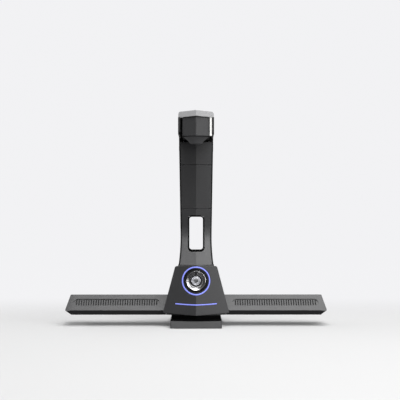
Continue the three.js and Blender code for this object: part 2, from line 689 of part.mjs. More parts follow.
function stadium(halfLength, halfHeight) {
  const shape = new THREE.Shape();
  const straight = halfLength - halfHeight;
  shape.moveTo(-straight, -halfHeight);
  shape.lineTo(straight, -halfHeight);
  shape.absarc(straight, 0, halfHeight, -Math.PI / 2, Math.PI / 2, false);
  shape.lineTo(-straight, halfHeight);
  shape.absarc(-straight, 0, halfHeight, Math.PI / 2, (3 * Math.PI) / 2, false);
  return shape;
}

function grilleCuts() {
  const middle = (grille.inner + grille.outer) / 2;
  const half = (grille.outer - grille.inner) / 2;
  const well = prism("z", stadium(half, grille.height / 2), -grille.recess, past, 8);
  const recess = onFace(well, middle, grille.lift, 0);
  const count = Math.floor((2 * half - grille.height / 2) / grille.slotPitch);
  const slots = [];
  for (let i = 0; i < count; i += 1) {
    const x = middle + (i - (count - 1) / 2) * grille.slotPitch;
    const w = grille.slotWidth / 2;
    const h = grille.slotHeight / 2;
    slots.push(onFace(block(-w, w, -h, h, -bar.wall - 1, 1), x, grille.lift, 0));
  }
  return [recess, ...slots];
}

const mirrorX = (solid) => solid.mirror([1, 0, 0]);

function makeSpeakerBar(side) {
  const hand = (solid) => (side === "left" ? mirrorX(solid) : solid);
  const far = bar.halfSpan + 20;
  const frontZone = block(0, far, bar.tipY - 10, bar.splitY, 0, barHigh + 20);
  const backZone = block(0, far, bar.splitY + fit.seat, bar.backY + 10, 0, barHigh + 20);
  const outer = barSolid(0);
  const hollow = barSolid(bar.wall);
  const front = cut(outer.intersect(frontZone), hollow, ...grilleCuts());
  const podRoom = cut(prism("y", podOutline(fit.seat), pod.ridgeY - 5, 0), behindPod(pod.wall + fit.seat));
  piece(`${side}_bar_front`, hand(cut(front, podRoom)), graphite);
  piece(`${side}_bar_back`, hand(cut(outer.intersect(backZone), hollow)), charcoal);

  const middle = (grille.inner + grille.outer) / 2;
  const halfCloth = (grille.outer - grille.inner) / 2 - grille.recess;
  const clothTop = -bar.wall - fit.seat;
  const clothPlan = rectangle(-halfCloth, halfCloth, -grille.clothHeight / 2, grille.clothHeight / 2);
  const clothSheet = prism("z", clothPlan, clothTop - grille.clothThick, clothTop);
  piece(`${side}_grille_cloth`, hand(onFace(clothSheet, middle, 0, 0)), cloth);

  const face = clothTop - grille.clothThick - fit.seat;
  const r = speaker.radius;
  const magnetBack = face - speaker.depth - speaker.magnetDepth;
  const basket = turned("z", [
    [0, magnetBack], [speaker.magnetRadius, magnetBack], [speaker.magnetRadius, face - speaker.depth],
    [r, face - 3], [r, face], [r - speaker.wall, face], [r - speaker.wall, face - 2.6],
    [speaker.magnetRadius - 1, face - speaker.depth + 2], [0, face - speaker.depth + 2],
  ], [0, 0, 0], 24);
  piece(`${side}_speaker_basket`, hand(onFace(basket, middle, 0, 0)), steel);
  const rim = r - speaker.wall - 1.4;
  const cone = turned("z", [
    [0, face - 1 - speaker.coneDepth], [3, face - 1 - speaker.coneDepth], [rim, face - 1.4], [rim, face - 0.6],
    [3, face - speaker.coneDepth], [0, face - speaker.coneDepth + 0.6],
  ], [0, 0, 0], 24);
  piece(`${side}_speaker_cone`, hand(onFace(cone, middle, 0, 0)), paper);
}

// ---- Arm ---------------------------------------------------------------------------------------

function armLevels(low, high) {
  const levels = [low];
  const marks = [];
  for (let i = 0; i <= 4; i += 1) marks.push(armRoot + (arm.leanRise * i) / 4);
  for (let i = 1; i <= 6; i += 1) marks.push(armLeanEnd + (arm.bendRise * i) / 6);
  for (const z of marks) if (z > low + 0.5 && z < high - 0.5) levels.push(z);
  levels.push(high);
  return levels;
}

// A cover follows the arm's two front facets as a plate of even thickness.
function coverPlate(low, high) {
  const rings = armLevels(low, high).map((z) => {
    const half = armHalf(z) - arm.reveal;
    const drop = (arm.ridge * half) / armHalf(z);
    const front = armFront(z);
    const thick = arm.coverWall * Math.hypot(1, armSlope(z));
    return [
      [-half, front + drop, z], [0, front, z], [half, front + drop, z],
      [half, front + drop + thick, z], [0, front + thick, z], [-half, front + drop + thick, z],
    ];
  });
  return loft(rings);
}

// The rear shell is a channel, open to the front, that the covers close.
function armChannel(low, high) {
  const rings = armLevels(low, high).map((z) => {
    const lengthen = Math.hypot(1, armSlope(z));
    const half = armHalf(z);
    const inner = half - arm.wall;
    const front = armFront(z) + arm.ridge + arm.coverWall * lengthen + fit.seat;
    const back = armBack(z);
    const chamfer = arm.chamfer;
    const innerBack = back - arm.wall * lengthen;
    return [
      [-half, front, z], [-inner, front, z], [-inner, innerBack - chamfer, z], [-inner + chamfer, innerBack, z],
      [inner - chamfer, innerBack, z], [inner, innerBack - chamfer, z], [inner, front, z], [half, front, z],
      [half, back - chamfer, z], [half - chamfer, back, z],
      [-half + chamfer, back, z], [-half, back - chamfer, z],
    ];
  });
  return loft(rings);
}

function windowPrism(grow) {
  const half = opening.halfWidth + grow;
  const low = armRoot + opening.low - grow;
  const high = armRoot + opening.high + grow;
  return prism("y", roundedShape(rectangle(-half, half, low, high), opening.radius + grow), -past, past, 5);
}

// A loop of wall around the opening, from just under the covers to just inside the arm's back.
function makeWindowLiner() {
  const low = armRoot + opening.low - 2 * opening.linerWall;
  const high = armRoot + opening.high + 2 * opening.linerWall;
  const half = opening.halfWidth + 2 * opening.linerWall;
  const rings = armLevels(low, high).map((z) => {
    const front = armFront(z) + opening.linerSink;
    const back = armBack(z) - opening.linerSink;
    const drop = (arm.ridge * half) / armHalf(z);
    const side = front + drop;
    return [[-half, side, z], [0, front, z], [half, side, z], [half, back, z], [-half, back, z]];
  });
  const wall = cut(windowPrism(opening.linerWall), windowPrism(0));
  piece("window_liner", wall.intersect(loft(rings)), black);
}

function makeArm() {
  const seams = [armRoot, armRoot + seamRises.lower, armRoot + seamRises.upper, headFloor - fit.slack];
  const seam = fit.seam / 2;
  const hole = windowPrism(opening.linerWall + fit.seat);
  piece("arm_lower_cover", cut(coverPlate(seams[0], seams[1] - seam), hole), graphite);
  piece("arm_middle_cover", coverPlate(seams[1] + seam, seams[2] - seam), graphite);
  const knuckleRoom = rod("x", hinge.radius + fit.running, -earInner, earInner, axle, 48);
  piece("arm_upper_cover", cut(coverPlate(seams[2] + seam, seams[3]), knuckleRoom), graphite);
  makeWindowLiner();
  makeRearShell(hole);
  makeHingePin();
  makeRibbonCable();
}

const axle = [0, hingeY, hingeZ];
const earInner = arm.halfTop - hinge.earThick;

// The ends of a span between two distances from the middle, on one side of it.
const spanOn = (side, near, far) => (side < 0 ? [-far, -near] : [near, far]);

// The rear shell ends in two ears that carry the hinge pin, with a slot between them for the knuckle.
function makeRearShell(hole) {
  const slotFloor = hingeZ - hinge.slotDrop;
  const earFront = hingeY - hinge.earRadius + arm.wall;
  const earBack = armBack(hingeZ) - arm.chamfer;
  const ears = [-1, 1].map((side) => {
    const [from, to] = spanOn(side, earInner, arm.halfTop);
    const root = block(from, to, earFront, earBack, slotFloor, hingeZ);
    return rod("x", hinge.earRadius, from, to, axle, 48).add(root);
  });
  const slot = block(-earInner, earInner, -past, past, slotFloor, hingeZ + past);
  const capRooms = [-1, 1].map((side) => {
    const [from, to] = spanOn(side, arm.halfTop - hinge.capThick - fit.seat, arm.halfTop + 1);
    return rod("x", hinge.capRadius + fit.seat, from, to, axle, 24);
  });
  const pinHole = rod("x", hinge.pinRadius + fit.running, -past, past, axle, 24);
  const channel = cut(armChannel(armRoot, hingeZ), slot);
  piece("arm_rear_shell", cut(join(channel, ...ears), hole, pinHole, coverRoom(), ...capRooms), black);
}

// The space that the upper cover takes, with a seat gap, kept clear of the ears.
function coverRoom() {
  const rings = [armRoot + seamRises.upper, headFloor].map((z) => {
    const half = armHalf(Math.min(z, hingeZ)) + 1;
    const back = armFront(z) + arm.coverWall + fit.seat;
    const side = back + arm.ridge;
    return [[-half, -past, z], [half, -past, z], [half, side, z], [0, back, z], [-half, side, z]];
  });
  return loft(rings);
}

function makeHingePin() {
  const end = arm.halfTop - hinge.capThick - 2 * fit.seat;
  piece("hinge_pin", rod("x", hinge.pinRadius, -end, end, axle, 24), steel);
  for (const [name, side] of [["left", -1], ["right", 1]]) {
    const [from, to] = spanOn(side, earInner - fit.running - hinge.washerThick, earInner - fit.running);
    const washer = pipe("x", hinge.pinRadius + fit.running, hinge.radius - 1, from, to, axle, 24);
    piece(`hinge_washer_${name}`, washer, steel);
    const [inside, outside] = spanOn(side, arm.halfTop - hinge.capThick, arm.halfTop);
    piece(`hinge_cap_${name}`, rod("x", hinge.capRadius, inside, outside, axle, 24), charcoal);
  }
}

// The flat camera cable lies behind the spine, beside the opening, from the body to the hinge.
function makeRibbonCable() {
  const top = hingeZ - hinge.earRadius - spine.topStop;
  const x0 = opening.halfWidth + opening.linerWall + fit.slack + ribbon.gap;
  const x1 = x0 + ribbon.width;
  const rings = [bodyTop - ribbon.below, armRoot, ...armLevels(armRoot, top).slice(1)].map((z) => {
    const middle = z < armRoot ? spineY : (armFront(z) + armBack(z)) / 2;
    const lengthen = Math.hypot(1, armSlope(Math.max(z, armRoot)));
    const y0 = middle + (spine.thick / 2) * lengthen + ribbon.gap;
    return rectangle(x0, x1, y0, y0 + ribbon.thick).map(([x, y]) => [x, y, z]);
  });
  piece("camera_ribbon", loft(rings), copper);
}

// ---- Head --------------------------------------------------------------------------------------

const lensCentre = [0, hingeY - lens.ahead, 0];

// Everything behind the head's two front facets.
function behindHeadFront(y) {
  const drop = past * tan(head.frontFacet);
  const deep = y + 2 * head.reach;
  const plan = [[0, y], [past, y + drop], [past, deep], [-past, deep], [-past, y + drop]];
  return prism("z", plan, hingeZ - past, hingeZ + past);
}

function makeHead() {
  const tailY = hingeY + head.tail;
  const low = coverFloor - 1;
  const high = coverFloor + head.lipHeight;
  const top = high + head.gable + 1;
  const half = head.halfWidth;
  const roof = [
    [-half, coverFloor], [0, coverFloor + head.arch], [half, coverFloor],
    [half - 0.6, high - 1.4], [half - 2.4, high], [0, high + head.gable],
    [-half + 2.4, high], [-half + 0.6, high - 1.4],
  ];
  const crown = [
    [headFront, low], [tailY, low], [tailY, coverFloor + head.tailLip],
    [tailY - head.tailSlope, top], [headFront, top],
  ];
  const cover = prism("y", roof, headFront, tailY)
    .intersect(prism("x", crown, -half, half))
    .intersect(behindHeadFront(headFront));
  const roomFront = headFront + head.roomHalf * tan(head.frontFacet) + 4 * head.coverWall;
  const roomBack = tailY - head.tailSlope;
  const roomTop = high - head.coverWall;
  const room = block(-head.roomHalf, head.roomHalf, roomFront, roomBack, low - 1, roomTop);
  piece("head_top_cover", cut(cover, room, ...cheekTabs(fit.seat)), silver);
  makeCameraBlock();
  makeCheeks();
  makeGapBars();
  makeScanLens();
}

function makeCameraBlock() {
  const front = headFront + head.blockInset;
  const back = hingeY + head.blockTail;
  const top = coverFloor - fit.seat;
  const half = head.blockHalf;
  const inner = half - head.blockWall;
  const floor = headFloor + head.blockWall;
  const outer = block(-half, half, front, back, headFloor, top).intersect(behindHeadFront(front));
  const hollow = block(-inner, inner, front, back - head.blockWall, floor, top + 1)
    .intersect(behindHeadFront(front + head.blockWall));
  const bore = rod("z", lens.barrelRadius + lens.flange, headFloor - 1, floor + 1, lensCentre, 32);
  const knuckleRoom = rod("x", hinge.radius + fit.slack, -half - 1, half + 1, axle, 32);
  piece("camera_housing", cut(outer, hollow, bore, knuckleRoom, webBlock(fit.seat)), graphite);

  const knuckleHalf = earInner - 2 * fit.running - hinge.washerThick - fit.running;
  const knuckle = rod("x", hinge.radius, -knuckleHalf, knuckleHalf, axle, 32).add(webBlock(0));
  const pinHole = rod("x", hinge.pinRadius + fit.running, -past, past, axle, 24);
  piece("hinge_knuckle", cut(knuckle, pinHole), steel);

  const boardZ = floor + lens.barrelLength - lens.drop;
  const boardHalf = inner - head.blockWall;
  const boardFront = front + inner * tan(head.frontFacet) + board.clearance;
  const boardBack = hingeY - hinge.radius - board.clearance;
  const sheet = block(-boardHalf, boardHalf, boardFront, boardBack, boardZ, boardZ + board.thick);
  piece("camera_board", sheet, circuit);
}

// The knuckle's flat web stands up inside the camera housing.
function webBlock(grow) {
  const half = head.blockHalf - head.webInset + grow;
  const reach = hinge.radius - 2 + grow;
  return block(-half, half, hingeY - reach, hingeY + reach, hingeZ, coverFloor - head.webInset + grow);
}

function cheekTabs(grow) {
  const places = [headFront + 3 * head.tabLength, hingeY - 2.5 * head.tabLength];
  const low = coverFloor - fit.seat - 1;
  const high = coverFloor + head.tabHeight + grow;
  return [-1, 1].flatMap((side) => places.map((y) => {
    const [from, to] = spanOn(side, gapInner - grow, gapInner + head.cheekThick / 2 + grow);
    return block(from, to, y - grow, y + head.tabLength + grow, low, high);
  }));
}

function makeCheeks() {
  const front = headFront + head.cheekInset;
  const low = hingeZ + head.cheekRise;
  const top = coverFloor - fit.seat;
  const relief = hinge.earRadius + head.cheekRelief;
  const start = Math.asin(head.cheekRise / relief);
  const tail = hingeY + head.tail - head.cheekInset;
  const shape = new THREE.Shape();
  shape.moveTo(front + head.cheekInset, low);
  shape.lineTo(hingeY - Math.cos(start) * relief, low);
  shape.absarc(hingeY, hingeZ, relief, Math.PI - start, Math.PI / 2, true);
  shape.lineTo(tail, hingeZ + relief);
  shape.lineTo(tail, top);
  shape.lineTo(front, top);
  shape.lineTo(front, low + head.cheekInset);
  shape.closePath();
  const tabs = cheekTabs(0);
  const middle = gapInner + head.cheekThick / 2;
  const stripFront = front + head.stripInset;
  const stripBack = hingeY - relief - head.stripInset;
  for (const [name, side] of [["left", -1], ["right", 1]]) {
    const [from, to] = spanOn(side, gapInner, head.halfWidth);
    const plate = prism("x", shape, from, to, 8);
    const mine = side < 0 ? tabs.slice(0, 2) : tabs.slice(2);
    const strip = (grow) => {
      const [x0, x1] = spanOn(side, middle - head.stripHalf - grow, middle + head.stripHalf + grow);
      const bottom = low - head.stripProud - grow;
      return block(x0, x1, stripFront - grow, stripBack + grow, bottom, low + head.stripDeep + grow);
    };
    piece(`${name}_cheek`, cut(join(plate, ...mine), strip(fit.running)), charcoal);
    piece(`${name}_light_strip`, strip(0), whiteLight);
  }
}

// Upright bars fill the fronts of the two gaps beside the housing: the right one is a light.
function makeGapBars() {
  const low = hingeZ + head.cheekRise;
  const front = headFront + head.blockHalf * tan(head.frontFacet) + head.gapBarInset;
  for (const [name, side, material] of [["left_gap_bar", -1, black], ["right_gap_light", 1, whiteLight]]) {
    const [from, to] = spanOn(side, head.blockHalf + fit.seat, gapInner - fit.seat);
    piece(name, block(from, to, front, front + head.gapBarDeep, low, coverFloor - fit.seat), material);
  }
}

// The page camera: a turned shroud under the housing, the barrel inside it and the front glass.
function makeScanLens() {
  const low = headFloor - lens.drop;
  const high = headFloor - fit.seat;
  const mouth = lens.barrelRadius + fit.running;
  piece("lens_shroud", turned("z", [
    [mouth, low + 1.2], [lens.shroudBottom - 0.6, low], [lens.shroudBottom + 2.4, low + 0.6],
    [lens.shroudTop - 3, high - 3], [lens.shroudTop, high], [mouth, high], [mouth, low + 1.2],
  ], lensCentre, 48), graphite);
  const barrelLow = low + 1.6;
  const barrelHigh = barrelLow + lens.barrelLength - 2;
  const seat = barrelLow + 2.2;
  const glassTop = seat + lens.glassThick;
  piece("scan_lens_barrel", turned("z", [
    [0, glassTop + fit.seat], [lens.bore, glassTop + fit.seat], [lens.bore, barrelLow],
    [lens.barrelRadius, barrelLow], [lens.barrelRadius, barrelHigh], [0, barrelHigh],
  ], lensCentre, 32), black);
  const clear = lens.bore - fit.running;
  piece("scan_lens_glass", turned("z", [
    [0, seat - 0.8], [clear * 0.6, seat - 0.5], [clear, seat + 0.3], [clear, glassTop], [0, glassTop],
  ], lensCentre, 32), glass);
}

// ---- Assembly ----------------------------------------------------------------------------------

makeFoot();
makeNeck();
makeSpine();
makeBody();
makePorts();
makePod();
makeSpeakerBar("left");
makeSpeakerBar("right");
makeArm();
makeHead();

// The origin is under the middle of the whole object, on the desk.
assembly.position.y = -(Math.min(headFront, foot.front) + footBack) / 2;

export default scanner;
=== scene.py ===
# Book scanner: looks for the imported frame, in metres
import bpy
import bmesh
import json
import math
from mathutils import Matrix, Vector


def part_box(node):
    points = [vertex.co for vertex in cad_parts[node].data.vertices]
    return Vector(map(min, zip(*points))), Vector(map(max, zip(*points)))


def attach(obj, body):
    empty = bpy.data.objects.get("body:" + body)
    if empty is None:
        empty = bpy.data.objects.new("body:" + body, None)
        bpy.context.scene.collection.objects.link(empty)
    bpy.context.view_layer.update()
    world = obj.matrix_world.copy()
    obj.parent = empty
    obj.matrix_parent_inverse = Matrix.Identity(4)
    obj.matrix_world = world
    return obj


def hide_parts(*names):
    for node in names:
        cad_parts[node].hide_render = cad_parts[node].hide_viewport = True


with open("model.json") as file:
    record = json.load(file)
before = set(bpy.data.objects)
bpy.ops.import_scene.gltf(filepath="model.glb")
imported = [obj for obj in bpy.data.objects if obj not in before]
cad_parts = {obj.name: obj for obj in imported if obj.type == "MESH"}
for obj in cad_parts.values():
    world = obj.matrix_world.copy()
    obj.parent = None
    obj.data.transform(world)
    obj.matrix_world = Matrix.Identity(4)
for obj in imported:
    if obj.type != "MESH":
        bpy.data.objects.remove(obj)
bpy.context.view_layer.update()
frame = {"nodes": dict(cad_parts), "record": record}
nodes = frame["nodes"]
mm = 0.001


# Camera, floor and lamps
cameraSetup = {"side": 1.0, "back": 1331.6, "height": 178.2, "lens": 76.2, "pitch": 0.68, "axisOffset": 6.14}


def makeCamera(setup):
    data = bpy.data.cameras.new("studioCamera")
    data.lens = setup["lens"]
    data.sensor_width = 36
    data.clip_end = 60
    camera = bpy.data.objects.new("studioCamera", data)
    camera.location = Vector((setup["side"], -setup["back"], setup["height"])) * mm
    turn = math.atan((setup["side"] - setup["axisOffset"]) / setup["back"])
    camera.rotation_euler = (math.radians(90 + setup["pitch"]), 0, turn)
    bpy.context.scene.collection.objects.link(camera)
    bpy.context.scene.camera = camera
    return camera


makeCamera(cameraSetup)
print("camera placed")

studio = {
    "floorHalf": 5.0, "wallBack": 2.4, "wallHeight": 5.0, "coveRadius": 1.2, "floorShade": 0.535,
    "ambient": 0.1, "glowNear": 0.085, "glowFar": 0.885, "fadeFrom": -0.02, "fadeTo": 0.42,
}


def makeFloor(setup):
    mesh = bpy.data.meshes.new("studioFloor")
    half, back, radius = setup["floorHalf"], setup["wallBack"], setup["coveRadius"]
    line = [(-setup["floorHalf"], 0.0), (back - radius, 0.0)]
    for step in range(1, 17):
        angle = math.radians(90) * step / 16
        line.append((back - radius + math.sin(angle) * radius, radius - math.cos(angle) * radius))
    line.append((back, setup["wallHeight"]))
    bm = bmesh.new()
    left = [bm.verts.new((-half, y, z)) for y, z in line]
    right = [bm.verts.new((half, y, z)) for y, z in line]
    for i in range(len(line) - 1):
        bm.faces.new((left[i], right[i], right[i + 1], left[i + 1])).smooth = True
    bm.to_mesh(mesh)
    bm.free()
    floor = bpy.data.objects.new("studioFloor", mesh)
    bpy.context.scene.collection.objects.link(floor)
    material = bpy.data.materials.new("palePaper")
    material.use_nodes = True
    shader = material.node_tree.nodes["Principled BSDF"]
    shade = setup["floorShade"]
    shader.inputs["Base Color"].default_value = (shade, shade, shade * 1.01, 1)
    shader.inputs["Roughness"].default_value = 0.9
    shader.inputs["Specular IOR Level"].default_value = 0.1
    tree = material.node_tree
    place = tree.nodes.new("ShaderNodeTexCoord")
    split = tree.nodes.new("ShaderNodeSeparateXYZ")
    tree.links.new(place.outputs["Object"], split.inputs["Vector"])
    fades = [("Emission Strength", setup["glowNear"], setup["glowFar"]), ("Base Color", shade, 0.0)]
    for socket, near, far in fades:
        away = tree.nodes.new("ShaderNodeMapRange")
        away.interpolation_type = "SMOOTHSTEP"
        span = {"From Min": setup["fadeFrom"], "From Max": setup["fadeTo"], "To Min": near, "To Max": far}
        for key, value in span.items():
            away.inputs[key].default_value = value
        tree.links.new(split.outputs["Y"], away.inputs["Value"])
        tree.links.new(away.outputs["Result"], shader.inputs[socket])
    shader.inputs["Emission Color"].default_value = (1, 1, 1.018, 1)
    mesh.materials.append(material)
    floor.visible_diffuse = False
    floor.visible_glossy = False


def makeWorld(setup):
    world = bpy.data.worlds.new("studioWorld")
    world.use_nodes = True
    shader = world.node_tree.nodes["Background"]
    shader.inputs["Color"].default_value = (1.0, 1.0, 1.012, 1)
    shader.inputs["Strength"].default_value = setup["ambient"]
    bpy.context.scene.world = world


studioLights = {
    "overheadSoftbox": {"at": (0.27, -0.45, 1.5), "aim": (0, -0.1, 0.0), "size": (1.7, 1.5), "watts": 38},
    "rightSoftbox": {"at": (1.35, -1.15, 0.4), "aim": (0, 0, 0.2), "size": (0.8, 1.3), "watts": 14},
    "frontFill": {"at": (0.2, -2.8, 0.9), "aim": (0, 0, 0.2), "size": (1.6, 1.2), "watts": 11},
    "leftBackSoftbox": {"at": (-1.2, 0.3, 0.7), "aim": (-0.15, 0, 0.05), "size": (0.7, 0.7), "watts": 5},
}


def makeLights(setup):
    for name, light in setup.items():
        data = bpy.data.lights.new(name, "AREA")
        data.shape = "RECTANGLE"
        data.size, data.size_y = light["size"]
        data.energy = light["watts"]
        lamp = bpy.data.objects.new(name, data)
        lamp.location = light["at"]
        aim = Vector(light["aim"]) - Vector(light["at"])
        lamp.rotation_euler = aim.to_track_quat("-Z", "Y").to_euler()
        bpy.context.scene.collection.objects.link(lamp)


makeFloor(studio)
makeWorld(studio)
makeLights(studioLights)
bpy.context.scene.view_settings.view_transform = "Standard"
print("studio lit")


# Node groups that several materials use
def newGroup(name, inputs, outputs):
    group = bpy.data.node_groups.new(name, "ShaderNodeTree")
    for label, kind, value in inputs:
        socket = group.interface.new_socket(label, in_out="INPUT", socket_type=kind)
        socket.default_value = value
    for label, kind in outputs:
        group.interface.new_socket(label, in_out="OUTPUT", socket_type=kind)
    return group, group.nodes.new("NodeGroupInput"), group.nodes.new("NodeGroupOutput")


def addNode(tree, kind, values=None, **settings):
    node = tree.nodes.new(kind)
    for key, value in settings.items():
        setattr(node, key, value)
    for key, value in (values or {}).items():
        node.inputs[key].default_value = value
    return node


def joinMath(tree, operation, first, second, clamp=False):
    node = addNode(tree, "ShaderNodeMath", operation=operation, use_clamp=clamp)
    for index, source in enumerate((first, second)):
        if isinstance(source, (int, float)):
            node.inputs[index].default_value = source
        else:
            tree.links.new(source, node.inputs[index])
    return node.outputs[0]


def makeMouldedGrain():
    group, entry, leave = newGroup(
        "mouldedGrain",
        [("Scale", "NodeSocketFloat", 1.0), ("Mottle", "NodeSocketFloat", 0.1)],
        [("Height", "NodeSocketFloat"), ("Shade", "NodeSocketFloat"), ("Rough", "NodeSocketFloat")],
    )
    place = addNode(group, "ShaderNodeTexCoord")
    fineScale = joinMath(group, "MULTIPLY", entry.outputs["Scale"], 2400.0)
    softScale = joinMath(group, "MULTIPLY", entry.outputs["Scale"], 38.0)
    fine = addNode(group, "ShaderNodeTexNoise", {"Detail": 3.0, "Roughness": 0.6})
    soft = addNode(group, "ShaderNodeTexNoise", {"Detail": 4.0, "Roughness": 0.55})
    group.links.new(place.outputs["Object"], fine.inputs["Vector"])
    group.links.new(place.outputs["Object"], soft.inputs["Vector"])
    group.links.new(fineScale, fine.inputs["Scale"])
    group.links.new(softScale, soft.inputs["Scale"])
    centred = joinMath(group, "SUBTRACT", soft.outputs["Fac"], 0.5)
    swing = joinMath(group, "MULTIPLY", centred, entry.outputs["Mottle"])
    group.links.new(fine.outputs["Fac"], leave.inputs["Height"])
    group.links.new(joinMath(group, "ADD", swing, 1.0), leave.inputs["Shade"])
    group.links.new(joinMath(group, "MULTIPLY", centred, 0.18), leave.inputs["Rough"])
    return group


def makeEdgeWear():
    group, entry, leave = newGroup(
        "edgeWear",
        [("Amount", "NodeSocketFloat", 0.3)],
        [("Mask", "NodeSocketFloat")],
    )
    shape = addNode(group, "ShaderNodeNewGeometry")
    place = addNode(group, "ShaderNodeTexCoord")
    patches = addNode(group, "ShaderNodeTexNoise", {"Scale": 160.0, "Detail": 5.0})
    group.links.new(place.outputs["Object"], patches.inputs["Vector"])
    sharp = addNode(group, "ShaderNodeMapRange", {"From Min": 0.52, "From Max": 0.62})
    group.links.new(shape.outputs["Pointiness"], sharp.inputs["Value"])
    broken = joinMath(group, "MULTIPLY", sharp.outputs["Result"], patches.outputs["Fac"])
    group.links.new(joinMath(group, "MULTIPLY", broken, entry.outputs["Amount"], True), leave.inputs["Mask"])
    return group


def makeDustFilm():
    group, entry, leave = newGroup(
        "dustFilm",
        [("Amount", "NodeSocketFloat", 0.1)],
        [("Mask", "NodeSocketFloat")],
    )
    shape = addNode(group, "ShaderNodeNewGeometry")
    split = addNode(group, "ShaderNodeSeparateXYZ")
    group.links.new(shape.outputs["Normal"], split.inputs["Vector"])
    place = addNode(group, "ShaderNodeTexCoord")
    clouds = addNode(group, "ShaderNodeTexNoise", {"Scale": 30.0, "Detail": 8.0, "Roughness": 0.7})
    group.links.new(place.outputs["Object"], clouds.inputs["Vector"])
    facingUp = addNode(group, "ShaderNodeMapRange", {"From Min": 0.3, "From Max": 1.0})
    group.links.new(split.outputs["Z"], facingUp.inputs["Value"])
    laid = joinMath(group, "MULTIPLY", facingUp.outputs["Result"], clouds.outputs["Fac"])
    group.links.new(joinMath(group, "MULTIPLY", laid, entry.outputs["Amount"], True), leave.inputs["Mask"])
    return group


def makeBrushLines():
    group, entry, leave = newGroup(
        "brushLines",
        [("Stretch", "NodeSocketVector", (40.0, 3000.0, 3000.0))],
        [("Height", "NodeSocketFloat"), ("Rough", "NodeSocketFloat")],
    )
    place = addNode(group, "ShaderNodeTexCoord")
    stretch = addNode(group, "ShaderNodeVectorMath", operation="MULTIPLY")
    group.links.new(place.outputs["Object"], stretch.inputs[0])
    group.links.new(entry.outputs["Stretch"], stretch.inputs[1])
    lines = addNode(group, "ShaderNodeTexNoise", {"Scale": 1.0, "Detail": 2.0})
    group.links.new(stretch.outputs["Vector"], lines.inputs["Vector"])
    centred = joinMath(group, "SUBTRACT", lines.outputs["Fac"], 0.5)
    group.links.new(lines.outputs["Fac"], leave.inputs["Height"])
    group.links.new(joinMath(group, "MULTIPLY", centred, 0.3), leave.inputs["Rough"])
    return group


def makeWeave():
    group, entry, leave = newGroup(
        "clothWeave",
        [("Pitch", "NodeSocketFloat", 900.0)],
        [("Height", "NodeSocketFloat")],
    )
    place = addNode(group, "ShaderNodeTexCoord")
    heights = []
    for direction in ("X", "Z"):
        wave = addNode(group, "ShaderNodeTexWave", {"Distortion": 0.3}, bands_direction=direction)
        group.links.new(place.outputs["Object"], wave.inputs["Vector"])
        group.links.new(entry.outputs["Pitch"], wave.inputs["Scale"])
        heights.append(wave.outputs["Fac"])
    group.links.new(joinMath(group, "MAXIMUM", heights[0], heights[1]), leave.inputs["Height"])
    return group


groups = {
    "grain": makeMouldedGrain(), "wear": makeEdgeWear(), "dust": makeDustFilm(),
    "brush": makeBrushLines(), "weave": makeWeave(),
}


def useGroup(tree, group, values):
    node = tree.nodes.new("ShaderNodeGroup")
    node.node_tree = groups[group]
    for key, value in values.items():
        node.inputs[key].default_value = value
    return node



# Materials
def mixColour(tree, mask, first, second):
    node = addNode(tree, "ShaderNodeMix", data_type="RGBA")
    for key, source in (("Factor", mask), ("A", first), ("B", second)):
        socket = next(s for s in node.inputs if s.name == key and (s.type == "RGBA" or key == "Factor"))
        if isinstance(source, tuple):
            socket.default_value = source
        else:
            tree.links.new(source, socket)
    return next(s for s in node.outputs if s.type == "RGBA")


def newMaterial(name, values):
    material = bpy.data.materials.new(name)
    material.use_nodes = True
    shader = material.node_tree.nodes["Principled BSDF"]
    for key, value in values.items():
        shader.inputs[key].default_value = value
    return material, material.node_tree, shader


def shadeOf(colour, factor):
    return tuple(min(1.0, part * factor) for part in colour[:3]) + (1.0,)


def plasticFinish(name, look):
    colour = look["colour"] + (1.0,)
    material, tree, shader = newMaterial(name, {
        "Specular IOR Level": look.get("specular", 0.5),
        "Metallic": look.get("metallic", 0.0),
        # A look's glow paints light into the plastic: emission of its own colour, though the part holds no
        # lamp
        "Emission Color": colour,
        "Emission Strength": look.get("glow", 0.0) / colour[0],
        "IOR": 1.5,
    })
    grain = useGroup(tree, "grain", {"Scale": look["grainScale"], "Mottle": look["mottle"]})
    wear = useGroup(tree, "wear", {"Amount": look["wear"]})
    dust = useGroup(tree, "dust", {"Amount": look["dust"]})
    shadeMask = joinMath(tree, "SUBTRACT", grain.outputs["Shade"], 0.5, True)
    mottled = mixColour(tree, shadeMask, shadeOf(colour, 0.86), shadeOf(colour, 1.14))
    worn = mixColour(tree, wear.outputs["Mask"], mottled, shadeOf(colour, 2.2))
    dusty = mixColour(tree, dust.outputs["Mask"], worn, (0.32, 0.31, 0.3, 1.0))
    tree.links.new(dusty, shader.inputs["Base Color"])
    rough = joinMath(tree, "ADD", grain.outputs["Rough"], look["rough"])
    dusted = joinMath(tree, "ADD", rough, joinMath(tree, "MULTIPLY", dust.outputs["Mask"], 0.5), True)
    tree.links.new(dusted, shader.inputs["Roughness"])
    bump = addNode(tree, "ShaderNodeBump", {"Strength": look["grainDepth"], "Distance": 0.00008})
    tree.links.new(grain.outputs["Height"], bump.inputs["Height"])
    tree.links.new(bump.outputs["Normal"], shader.inputs["Normal"])
    return material


def steelFinish(name, look):
    colour = look["colour"] + (1.0,)
    material, tree, shader = newMaterial(name, {"Base Color": colour, "Metallic": 1.0})
    brush = useGroup(tree, "brush", {"Stretch": look["stretch"]})
    wear = useGroup(tree, "wear", {"Amount": look["wear"]})
    worn = mixColour(tree, wear.outputs["Mask"], colour, shadeOf(colour, 1.3))
    tree.links.new(worn, shader.inputs["Base Color"])
    rough = joinMath(tree, "ADD", brush.outputs["Rough"], look["rough"], True)
    tree.links.new(rough, shader.inputs["Roughness"])
    bump = addNode(tree, "ShaderNodeBump", {"Strength": look["depth"], "Distance": 0.00003})
    tree.links.new(brush.outputs["Height"], bump.inputs["Height"])
    tree.links.new(bump.outputs["Normal"], shader.inputs["Normal"])
    return material


